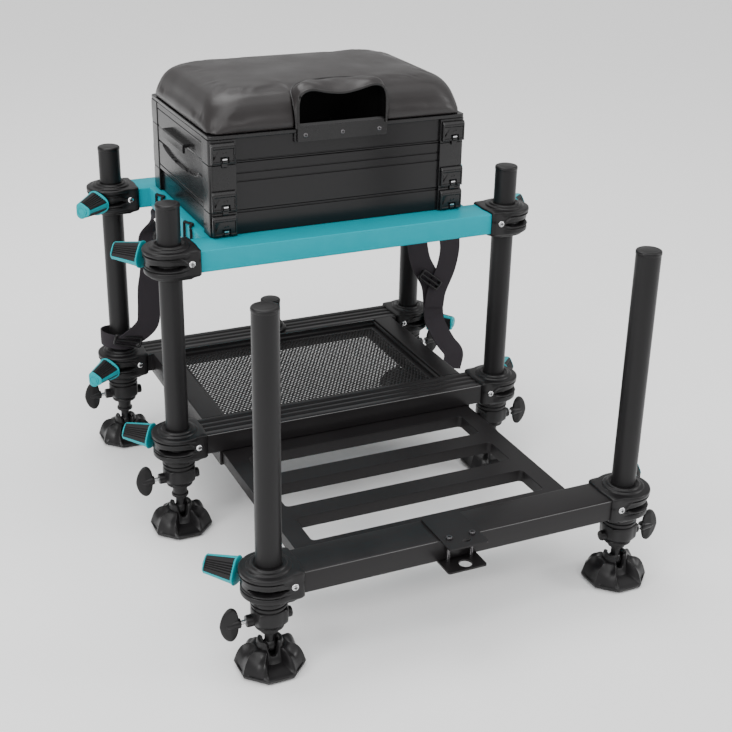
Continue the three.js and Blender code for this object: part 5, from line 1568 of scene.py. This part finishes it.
@dataclass
class TackleBox:
    """The three modules with their drawers, latches, lid, cushion, hood and screwed strip."""

    lid: float = 627.7
    seat: float = 633.7
    front_x: float = -207.9
    front_half: float = 117.7
    upper_front: tuple = (564.4, 617.4)
    lower_front: tuple = (523.6, 563.4)
    pad_half: tuple = (211.5, 151.0)
    pad_rise: float = 56.0
    latch_x: float = 192.5
    latch_y: float = 152.2
    roof_x: tuple = (0, 28, 54, 68, 75, 79)
    roof_y: tuple = (-103, -105, -112, -121, -131, -148)

    @staticmethod
    def modules() -> tuple:
        """The three modules from the bottom up.

        Returns:
            Base, middle and top.
        """
        return (
            BoxModule("base", "root", 477.3, 38.0, (512.3,)),
            BoxModule("middle", "box_middle", 515.6, 73.5, (560.5, 573.5), (515.75, 523.4)),
            BoxModule("top", "box_top", 589.4, 38.0, (593.0,), (617.6, 627.25)),
        )

    def build(self) -> None:
        """Makes the box and what it carries."""
        for module in self.modules():
            module.build()
        self.trays()
        self.latches()
        self.drawers()
        self.lid_board()
        self.cushion()
        self.hood()

    def trays(self) -> None:
        """Inside of the modules, which shows when they are open: a tray below, floors above.

        The tray's outline runs up the outside, in over the rim and down to the floor.
        """
        outer, inner = round_rect(205.5, 143.5, 8.0), round_rect(203.0, 141.0, 6.0)
        floor = round_rect(203.0, 115.0, 6.0)
        for module in self.modules():
            low, high = module.bottom + 0.4, module.bottom + module.height - 0.4
            rows = [(floor, low), (floor, module.bottom + 3.0)]
            if module.name == "base":
                rows = [(outer, low), (outer, high), (inner, high), (inner, module.bottom + 3.0)]
            coats = [Coat(loft(tiers(rows)).moved(0, BOX_Y), Finishes.LATCH)]
            piece(f"{module.name}_tray", coats, module.body)

    def latches(self) -> None:
        """Latches at the corners: moving ones in front, fixed ones behind and on the base."""
        for module in self.modules():
            moving, z = module.body != "root", module.bottom + 3
            for side, x in (("left", -self.latch_x), ("right", self.latch_x)):
                name, coats = f"latch_{module.name}_{side}", Latch().coats(moving)
                body, node = (name, (name,)) if moving else (module.body, ())
                front = moved_coats(coats, x, BOX_Y - self.latch_y, z)
                piece(f"front_{name}", front, body, node, sharp=28)
                rear = moved_coats(coats, x, BOX_Y + self.latch_y, z, HALF_TURN)
                piece(f"rear_{name}", rear, module.body, sharp=28)

    def drawer_front(self, z0: float, z1: float, cut: Relief) -> Shell:
        """A drawer's front towards -X: 5 mm high, less 1.2 mm at its rim, less a cut.

        Args:
            z0: Lower edge.
            z1: Upper edge.
            cut: Depth of the cut, a function of arrays x and z.

        Returns:
            The front in place.
        """
        half = self.front_half

        def high(x: np.ndarray, z: np.ndarray) -> np.ndarray:
            """Height of the front: 5 - 1.2 (1 - edge / 1.6)^2 - cut, edge = way to the rim."""
            edge = np.minimum(np.minimum(x + half, half - x), np.minimum(z - z0, z1 - z))
            return 5.0 - 1.2 * (1 - np.clip(edge / 1.6, 0, 1)) ** 2 - cut(x, z)

        plate = relief_plate(-half, half, z0, z1, high, 1.2)
        to_left = np.array([[0, 1, 0], [-1, 0, 0], [0, 0, 1]], float)
        return plate.turned(to_left).moved(self.front_x, BOX_Y, 0)

    def drawers(self) -> None:
        """Side drawers: trays with smooth fronts, one with a ledge pull, one with a finger scoop.

        The upper front has a line 0.6 mm deep; the lower one's scoop is cut by 4.4 mm where
        (y / 96)^2 + ((top - z) / 14)^2 < 1.
        """

        def scoop(x: np.ndarray, z: np.ndarray) -> np.ndarray:
            """Depth of the finger scoop."""
            inside = (x / 96.0) ** 2 + ((self.lower_front[1] - z) / 14.0) ** 2
            return 4.4 * (1 - smooth_step(inside, 0.82, 1.0))

        upper = self.drawer_front(*self.upper_front, lambda x, z: 0.6 * (np.abs(z - 589.3) < 1.2))
        lower = self.drawer_front(*self.lower_front, scoop)
        a = np.linspace(0, math.pi / 2, 6)
        arc = np.column_stack([-221.3 - 3.0 * np.sin(a), 596.4 + 3.0 * np.cos(a)])
        pull = [(-224.3, 586.4), (-223.3, 585.4), (-221.3, 585.4), (-220.3, 586.4)]
        pull = np.concatenate([[(-210.0, 599.4)], arc, pull, [(-220.3, 594.4), (-210.0, 594.4)]])
        ledge = prism(pull[::-1, ::-1], -55, 55, "y").moved(0, BOX_Y)
        outer, inner = round_rect(148.0, 113.0, 3.0), round_rect(146.0, 111.0, 2.0)
        for name, front, z0, h in (("upper", upper, 593.4, 24.0), ("lower", lower, 523.6, 37.0)):
            body, rim = f"drawer_{name}", z0 + h - 0.5
            tray = loft(tiers([(outer, z0), (outer, rim), (inner, rim), (inner, z0 + 2.0)]))
            coats, node = [Coat(front, Finishes.BOX_PANEL)], (f"side_drawer_{name}",)
            piece(f"{name}_drawer_front", coats, body, node, sharp=30)
            coats = [Coat(tray.moved(-57, BOX_Y), Finishes.LATCH)]
            piece(f"{name}_drawer_tray", coats, body, bevel=0.3)
            if name == "upper":
                piece("drawer_pull", [Coat(ledge, Finishes.LATCH)], body, sharp=40)

    def lid_board(self) -> None:
        """Lid board with its rear hinge knuckles and the skirt behind the metal strip."""
        board = prism(round_rect(213.6, 151.6, 7.0), self.lid, self.lid + 5.7)
        knuckle = spindle([(0.5, 0), (3.9, 0), (3.9, 34), (0.5, 34)], 24)
        knuckles = [knuckle.moved(x, 156.3, self.lid) for x in (-130.0, 96.0)]
        skirt = slab(-77.5, 77.5, -151.6, -146.4, self.lid - 14.6, self.lid + 1)
        coats = [Coat(joined(board, skirt, *knuckles).moved(0, BOX_Y), Finishes.LATCH)]
        piece("seat_board", coats, "lid", ("seat_lid",), bevel=1.0, sharp=40)

    def cushion_rows(self) -> np.ndarray:
        """Rings of the cushion: a rounded rectangle that draws in along a superellipse.

        At rise t from 0 to 1: inset = 31 (1 - (1 - t^2.6)^(1 / 2.1)) and corner radius =
        22 + 30 t; then rings shrink to the middle under a crown 4.5 (1 - s^2) high.

        Returns:
            Array (rows, places, 3).
        """
        rows = []
        for t in np.concatenate([[0.0], np.sin(np.linspace(0.0, math.pi / 2, 18))]):
            inset = 31 * (1 - (1 - min(t, 1.0) ** 2.6) ** (1 / 2.1)) + (0.0 if rows else 2.5)
            half_x, half_y = (half - inset for half in self.pad_half)
            outline = round_rect(half_x, half_y, 22 + 30 * t, 9)
            rows.append((outline, self.seat + self.pad_rise * t))
        rim = rows[-1][0]
        for share in (0.97, 0.92, 0.8, 0.6, 0.35, 0.1):
            rows.append((rim * share, self.seat + self.pad_rise + 4.5 * (1 - share * share)))
        return tiers(rows)

    def cushion(self) -> None:
        """The seat cushion: inflated by the cloth solver, then notched for the hood."""
        coats = [Coat(loft(self.cushion_rows()).moved(0, BOX_Y), Finishes.LEATHER)]
        pad = piece("seat_pad", coats, "lid", ("seat_cushion",), sharp=180)
        remesh = pad.modifiers.new("even_mesh", "REMESH")
        remesh.mode = "VOXEL"
        remesh.voxel_size = 0.005
        apply_modifiers(pad)
        self.inflate(pad)
        fine = pad.modifiers.new("fine_surface", "SUBSURF")
        fine.levels = fine.render_levels = 1
        apply_modifiers(pad)
        self.notch(pad)
        pad.data.shade_smooth()

    def inflate(self, pad: bpy.types.Object) -> None:
        """20 steps of cloth under pressure with the underside held, motion capped at 2.5 mm.

        A point is held where it lies within 6 mm of the board. The motion that is kept is
        move min(1, cap / |move|).

        Args:
            pad: The cushion.
        """
        scene = bpy.context.scene
        start, cap = vertex_array(pad), 0.0025
        held = pad.vertex_groups.new(name="held")
        low = (self.seat + 6) / 1000
        held.add(np.nonzero(start[:, 2] < low)[0].tolist(), 1.0, "REPLACE")
        settings = pad.modifiers.new("cloth", "CLOTH").settings
        settings.vertex_group_mass = "held"
        settings.use_pressure = True
        settings.uniform_pressure_force = 4
        settings.effector_weights.gravity = 0
        settings.quality = 5
        for step in range(1, 21):
            scene.frame_set(step)
        apply_modifiers(pad)
        move = vertex_array(pad) - start
        scene.frame_set(1)
        far = np.linalg.norm(move, axis=1, keepdims=True)
        put_vertices(pad, start + move * np.minimum(1, cap / np.maximum(far, 1e-9)))

    def roof_line(self, x: np.ndarray) -> np.ndarray:
        """Depth y of the hood's rear edge at each x, straight between six places."""
        return np.interp(np.abs(x), self.roof_x, self.roof_y)

    def notch(self, pad: bpy.types.Object) -> None:
        """Makes room for the hood: points of the front under it are pushed back under its roof.

        Inside |x| < 75, y becomes at least the roof line less 4 mm, eased over 3.5 mm of x.
        Wrinkles run out from the hood: 0.7 sin(11 angle + x / 20) exp(-(d / 22)^2) mm.

        Args:
            pad: The cushion.
        """
        middle = np.array([0, PLAN_SHIFT + BOX_Y, 0])
        x, y, z = (vertex_array(pad) * 1000 - middle).T
        gate = 1 - smooth_step(np.abs(x), 75.0, 78.5)
        wall = self.roof_line(x) - 4.0
        pushed = np.where((y < wall) & (gate > 0), y + (wall - y) * gate, y)
        d = np.sqrt(np.maximum(np.abs(x) - 80, 0) ** 2 + np.maximum(y + 100, 0) ** 2)
        turn = np.arctan2(y + 130, np.abs(x) + 1)
        fold = 0.7 * np.sin(turn * 11 + x * 0.05) * np.exp(-((d / 22) ** 2))
        fold = fold * smooth_step(z, self.seat + 6, self.seat + 20) * (1 - gate)
        put_vertices(pad, (np.column_stack([x, pushed - fold * 0.5, z + fold]) + middle) / 1000)

    def hood(self) -> None:
        """Grab hood: padded roof over an open pocket, piped edges, painted shade inside and screwed
        strip.

        The front edge is an arch of two round corners whose middle sags by 7 mm; the rear edge
        lies on the cushion; the roof between them is the straight line plus 7.5 sin^0.8(pi t) mm
        and a slow crease.
        """
        front = spline([
            (-73, -155.5, 634), (-73.5, -155, 655), (-72.5, -154.5, 676), (-66, -154, 688),
            (-50, -153.5, 692), (-25, -153.5, 687), (0, -154, 684.5), (25, -153.5, 687.5),
            (50, -153.5, 693), (66, -154, 690), (72.5, -154.5, 678), (73.5, -155, 656),
            (73, -155.5, 634),
        ], 90)
        half = [
            (-75, -152, 634), (-76, -151, 654), (-77, -144, 673), (-72.5, -125, 686.5),
            (-54, -112, 693), (-28, -105, 694.6),
        ]
        rear = spline([*half, (0, -103, 695), *[(-x, y, z) for x, y, z in half[::-1]]], 90)
        t = np.linspace(0, 1, 17)[:, None, None]
        x, top = front[:, 0], smooth_step(front[:, 2], 668, 690)
        up = np.column_stack([np.sign(x) * (1 - top) * 0.2, np.zeros(len(x)), top])
        crease = 0.8 * np.sin(x * 0.16 + 1.0)[None, :, None] * np.sin(3 * math.pi * t)
        bulge = 7.5 * np.sin(math.pi * t) ** 0.8 + crease * top[None, :, None]
        roof = front[None] * (1 - t) + rear[None] * t + bulge * up[None]
        inner = roof * np.array([0.972, 1.0, 1.0]) - np.array([0, 0, 3.0]) * top[None, :, None]
        skin = loft(np.concatenate([roof, inner[::-1]]), ends=False, ring_closed=False)
        lining = front * np.array([0.965, 1, 1]) - np.array([0, 0, 2.2]) * top[:, None]
        deep_y = self.roof_line(lining[:, 0]) - 6
        deep = np.column_stack([lining[:, 0] * 0.985, deep_y, lining[:, 2]])
        ease = np.array([0, 0.8, 0])
        rows = [lining * (1 - k) + deep * k + ease for k in (0.0, 0.35, 0.7, 0.97, 1.0)]
        middle = np.array([0.0, 634.0])
        for k in (0.97, 0.75, 0.5, 0.25, 0.02):
            flat_x, flat_z = (middle + (deep[:, [0, 2]] - middle) * k).T
            rows.append(np.column_stack([flat_x, self.roof_line(flat_x) - 5.2, flat_z]))
        pocket = loft(np.array(rows), ends=False, ring_closed=False)
        piping = joined(
            round_tube(front + np.array([0, -0.5, 0]), 1.7),
            round_tube(front * np.array([0.985, 1, 1]) + np.array([0, -1.6, -1.0]), 1.1),
            round_tube(rear + np.array([0, -0.4, 0.8]), 1.7),
        )
        coats = [
            # The pocket and the thin sheet on the lid under it are near-black: painted shade inside
            # the hood.
            Coat(skin, Finishes.LEATHER), Coat(pocket, Finishes.PAINTED_SHADE),
            Coat(slab(-71, 71, -154.5, -116, 633.8, 634.6), Finishes.PAINTED_SHADE),
            Coat(piping, Finishes.PIPING),
        ]
        coats = moved_coats(coats, 0, BOX_Y, 0)
        pad = piece("grab_handle", coats, "lid", ("grab_hood",), sharp=60)
        plate = [(-155.2, 613.9), (-152.4, 613.9), (-152.4, 637.5), (-149.8, 640.4)]
        plate = prism(np.array([*plate, (-151.6, 641.6), (-155.2, 638.0)]), -73.8, 73.8, "x")
        coats = [Coat(plate.moved(0, BOX_Y), Finishes.LATCH)]
        for x in (-61.0, 0.0, 62.0):
            screw = pan_screw(3.6, 1.5, Finishes.DARK_STEEL)
            coats += moved_coats(screw, x, BOX_Y - 155.3, 624.0, TO_FRONT)
        piece("hood_strip", coats, "lid", bevel=0.5, sharp=40)


def vertex_array(obj: bpy.types.Object) -> np.ndarray:
    """The object's points as an array (n, 3) in metres.

    Args:
        obj: The object.

    Returns:
        The points.
    """
    co = np.empty(len(obj.data.vertices) * 3, np.float32)
    obj.data.vertices.foreach_get("co", co)
    return co.reshape(-1, 3).astype(float)


def put_vertices(obj: bpy.types.Object, points: np.ndarray) -> None:
    """Moves the object's points to an array (n, 3) in metres."""
    obj.data.vertices.foreach_set("co", points.astype(np.float32).ravel())
    obj.data.update()


def apply_modifiers(obj: bpy.types.Object) -> None:
    """Puts the result of the object's modifiers into its mesh and removes them.

    Args:
        obj: The object.
    """
    graph = bpy.context.evaluated_depsgraph_get()
    done = bpy.data.meshes.new_from_object(obj.evaluated_get(graph), depsgraph=graph)
    old = obj.data
    obj.modifiers.clear()
    obj.data = done
    for mat in old.materials:
        if mat.name not in done.materials:
            done.materials.append(mat)


@dataclass
class Straps:
    """Carrying straps of webbing with their slide buckles, and the loop on the rear leg."""

    width: float = 40.0
    thick: float = 2.2
    rail: float = 441.45

    def ribbon(self, route: list) -> Coat:
        """Webbing along a route, its width turning from Y to X as it leaves the rail.

        The section is a flat rounded rectangle whose middle is 0.24 mm thinner than its
        selvedges; across it u runs from 0 to 1 and along it v counts metres, for the weave.

        Args:
            route: Points of the route.

        Returns:
            The webbing with its texture places.
        """
        steps, half = 110, self.width / 2
        path = spline(route, steps)
        twist = smooth_step(np.linspace(0, 1, steps)[:, None], 0.04, 0.3)
        sides = (1 - twist) * np.array([[0, 1.0, 0]]) + twist * np.array([[1.0, 0, 0]])
        across = np.linspace(-1, 1, 17)
        h = self.thick / 2 - 0.12 * (1 - across**4)
        top, bottom = np.column_stack([across * half, h]), np.column_stack([across * half, -h])
        section = np.concatenate([top[::-1], bottom])
        gone = run_length(path) / 1000
        u = np.tile((section[:, 0] / half + 1) / 2, steps)
        uv = np.column_stack([u, np.repeat(gone, len(section))])
        uv = np.concatenate([uv, [[0.5, 0], [0.5, gone[-1]]]])
        return Coat(swept(path, sides, section), Finishes.WEBBING, uv)

    def buckle(self, at: tuple, lean: float) -> Coat:
        """Slide buckle: a round-edged frame with a middle bar, in the XZ plane.

        Frame and bar are elliptic tubes round a rounded rectangle, turned about Y by the lean.

        Args:
            at: Middle of the buckle.
            lean: Its slope to the right, in degrees downwards.

        Returns:
            The buckle in place.
        """
        o, a = round_rect(23.5, 8.6, 4.0, 4), angles(12)
        path = np.column_stack([o[:, 0], np.zeros(len(o)), o[:, 1]])
        out = unit(path * np.array([0.4, 1, 1]))[:, None]
        u, v = 2.5 * np.cos(a)[None, :, None], 2.9 * np.sin(a)[None, :, None]
        frame_ring = loft(path[:, None] + u * out + v * np.array([0, 1.0, 0]), False, loop=True)
        bar = round_tube(np.array([[-22.0, 0, 0], [0, 0, 0], [22.0, 0, 0]]), 2.2)
        c, n = math.cos(math.radians(lean)), math.sin(math.radians(lean))
        turn = np.array([[c, 0, n], [0, 1, 0], [-n, 0, c]])
        return Coat(joined(frame_ring, bar).turned(turn).moved(*at), Finishes.NYLON)

    def build(self) -> None:
        """Makes both straps; the loop is a band, widened 1.14 times and sheared."""
        left = [
            (-200, 296, self.rail), (-226, 297, 434), (-234, 298, 396), (-233, 299, 340),
            (-239, 300, 300), (-241, 300, 262), (-244, 301, 236), (-258, 304, 219),
            (-274, 308, 208), (-288, 312, 201),
        ]
        right = [
            (200, 250, self.rail), (226, 250, 434), (246, 250, 392), (254, 250, 343),
            (264, 250, 299), (287, 250, 254), (294, 250, 202), (298, 248, 175), (307, 222, 145),
            (317, 204, 125), (311, 200, 96),
        ]
        back = [
            (200, 205, self.rail), (240, 208, 434), (292, 226, 396), (319, 243, 335),
            (316, 246, 286), (298, 246.6, 239), (293, 246.8, 206),
        ]
        band = [(25.2, 187.5), (27.3, 187.5), (27.5, 200), (27.3, 213.8), (25.2, 213.8)]
        shear = np.array([[1.14, 0, 0], [0, 1, 0], [-0.18, 0, 1]])
        loop = Coat(lathe(band, loop=True).turned(shear).moved(-288.5, 339), Finishes.WEBBING)
        straps = {
            "left": [self.ribbon(left), loop, self.buckle((-280, 305.2, 205), 16.0)],
            "right": [self.ribbon(right), self.ribbon(back), self.buckle((281, 243.0, 264), 38.0)],
        }
        for side, coats in straps.items():
            node = (f"strap_{side}",)
            piece(f"webbing_{side}", coats, "root", node, sharp=50)


@dataclass
class ShockCord:
    """Shock cord under the left rail: its ends hang looped over the ledge, with toggles."""

    radius: float = 2.2
    ledge: float = 479.5
    ledge_x: float = -220.0
    outer_x: float = -228.5
    under: float = 440.5
    under_x: float = -209.0
    clear: float = 0.3
    hang: float = 68.0
    ends_y: tuple = (72.0, 262.0)

    def end(self, y: float, way: int) -> list:
        """Points of one end, from its toggle up over the ledge, back over it and under the rail.

        Args:
            y: Where the end hangs.
            way: 1 where the cord runs on towards +Y, -1 towards -Y.

        Returns:
            The points.
        """
        o, z, r, c, h = self.outer_x, self.ledge, self.radius, self.clear, self.hang
        steps = [
            (o - r, 0, z - h), (o - r / 2, 0, z - h / 2), (o - c, 0, z - h / 6), (o - c, 1, z),
            (o + r, 4, z + 2 * c), (self.ledge_x, 8, z), (o + r, 12, z + 2 * c), (o - c, 15, z),
            (o - c, 16, z - h / 6), (o - c, 16, self.under), (o + r, 16, self.under - 2 * c),
            (self.ledge_x, 18, self.under), (self.under_x, 24, self.under),
        ]
        return [(x, y + way * radii * r, height) for x, radii, height in steps]

    def toggle(self) -> Shell:
        """A toggle below the cord's end, with its wire hook.

        Returns:
            The toggle about Z.
        """
        z = self.ledge - self.hang + 3.5
        rows = [(1.0, 14.0), (3.4, 13.6), (4.8, 11.5), (5.0, 8), (4.6, 3), (3.2, 0.8), (2.4, 0.1)]
        wire = [(0, 13), (0, 15), (1.6, 17.6), (4, 17.8), (5.4, 15), (4.4, 12)]
        hook = round_tube(spline([(x, 0, z - down) for x, down in wire], 40), 1.1)
        return joined(lathe([(r, z - down) for r, down in rows], 28), hook)

    def build(self) -> None:
        y0, y1 = self.ends_y
        path = spline(self.end(y0, 1) + self.end(y1, -1)[::-1], 300)
        toggles, x = [], self.outer_x - self.radius - 2.5
        for k, y in enumerate(self.ends_y):
            coats = [Coat(self.toggle().moved(x, y, 0), Finishes.NYLON)]
            toggles.append(piece(f"cord_toggle_{k + 1}", coats, "root", sharp=45))
        coats = [Coat(round_tube(path, self.radius), Finishes.CORD)]
        cord = piece("shock_cord_run", coats, "root", ("shock_cord",))


@dataclass
class Studio:
    """Camera at the photograph's viewing angle, soft studio lights and a pale floor."""

    place: tuple = (-798.8, -1809.7, 1132.2)
    yaw: float = 24.88
    pitch: float = 24.33
    roll: float = 1.16
    focal_px: float = 1324.23
    image: int = 732
    floor_half: float = 30.0

    @staticmethod
    def add(name: str, data: bpy.types.ID) -> bpy.types.Object:
        """An object of that data in the scene.

        Args:
            name: Its name.
            data: Its mesh, light or camera.

        Returns:
            The object.
        """
        obj = bpy.data.objects.new(name, data)
        bpy.context.scene.collection.objects.link(obj)
        return obj

    def camera(self) -> None:
        """The camera: its columns are right, up and back of the fitted view.

        forward = (sin yaw cos pitch, cos yaw cos pitch, -sin pitch); right and up are turned
        about it by the roll; the lens is focal_px / image times the sensor's 36 mm.
        """
        y, p, r = (math.radians(v) for v in (self.yaw, self.pitch, self.roll))
        ahead = Vector((math.sin(y) * math.cos(p), math.cos(y) * math.cos(p), -math.sin(p)))
        right = Vector((math.cos(y), -math.sin(y), 0))
        up = right.cross(ahead)
        across = right * math.cos(r) + up * math.sin(r)
        above = up * math.cos(r) - right * math.sin(r)
        cam = self.add("camera", bpy.data.cameras.new("camera"))
        cam.data.sensor_width = 36
        cam.data.lens = self.focal_px / self.image * cam.data.sensor_width
        cam.data.clip_start, cam.data.clip_end = 0.05, 50
        turn = Matrix((across, above, -ahead)).transposed().to_4x4()
        cam.matrix_world = Matrix.Translation(Vector(to_row(np.array(self.place)))) @ turn
        bpy.context.scene.camera = cam

    def area(self, name: str, at: tuple, size: float, power: float, aim: tuple) -> None:
        """A square area light, aimed at a point.

        Args:
            name: Its name.
            at: Its place in metres.
            size: Its side in metres.
            power: Its power in watts.
            aim: The point in metres.
        """
        data = bpy.data.lights.new(name, "AREA")
        data.shape = "SQUARE"
        data.size = size
        data.energy = power
        obj = self.add(name, data)
        obj.location = at
        obj.rotation_mode = "QUATERNION"
        obj.rotation_quaternion = (Vector(aim) - Vector(at)).to_track_quat("-Z", "Y")

    def sun(self, name: str, turn: tuple, power: float) -> None:
        """A wide, soft sun.

        Args:
            name: Its name.
            turn: Its turn about X, Y and Z in radians.
            power: Its strength.
        """
        data = bpy.data.lights.new(name, "SUN")
        data.energy = power
        data.angle = math.radians(55)
        self.add(name, data).rotation_euler = turn

    def floor(self) -> None:
        """The pale floor, half a millimetre under the feet."""
        s = self.floor_half
        mesh = bpy.data.meshes.new("floor")
        mesh.from_pydata([(-s, -s, 0), (s, -s, 0), (s, s, 0), (-s, s, 0)], [], [(0, 1, 2, 3)])
        mat = bpy.data.materials.new("pale_floor")
        mat.use_nodes = True
        shader = mat.node_tree.nodes["Principled BSDF"].inputs
        shader["Base Color"].default_value = (0.94, 0.94, 0.94, 1)
        shader["Roughness"].default_value = 0.9
        shader["Specular IOR Level"].default_value = 0.2
        mesh.materials.append(mat)
        obj = self.add("floor", mesh)
        obj.location.z = -0.0005

    def build(self) -> None:
        """Makes the camera, the lights, the white world and the floor."""
        self.camera()
        self.area("left_strip", (-2.4, -0.9, 1.3), 0.9, 26, (0, 0, 0.3))
        self.area("top_softbox", (-0.3, 0.9, 2.8), 1.8, 42, (0, 0.3, 0.5))
        self.area("right_strip", (2.3, -1.4, 1.2), 0.7, 18, (0, 0, 0.3))
        self.sun("soft_key", (0.55, -0.35, 0.0), 1.7)
        self.sun("soft_fill", (0.35, 0.6, 0.0), 0.7)
        world = bpy.data.worlds.new("studio")
        world.use_nodes = True
        sky = world.node_tree.nodes["Background"]
        sky.inputs[0].default_value = (1.0, 1.0, 1.0, 1.0)
        sky.inputs[1].default_value = 0.62
        bpy.context.scene.world = world
        self.floor()


def main() -> None:
    logging.basicConfig(level=logging.INFO, format="%(name)s %(message)s")
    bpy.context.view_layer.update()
    Studio().build()
    ShockCord().build()
    Straps().build()
    Frames().build()
    for leg in MAIN_LEGS:
        Leg(leg, sleeve_top=130.0, tube_top=541.0).build()
    for leg in STEP_LEGS:
        Leg(leg, sleeve_top=117.0, tube_top=527.0).build()
    Footplate().build()
    TackleBox().build()


if __name__ == "__main__":
    main()
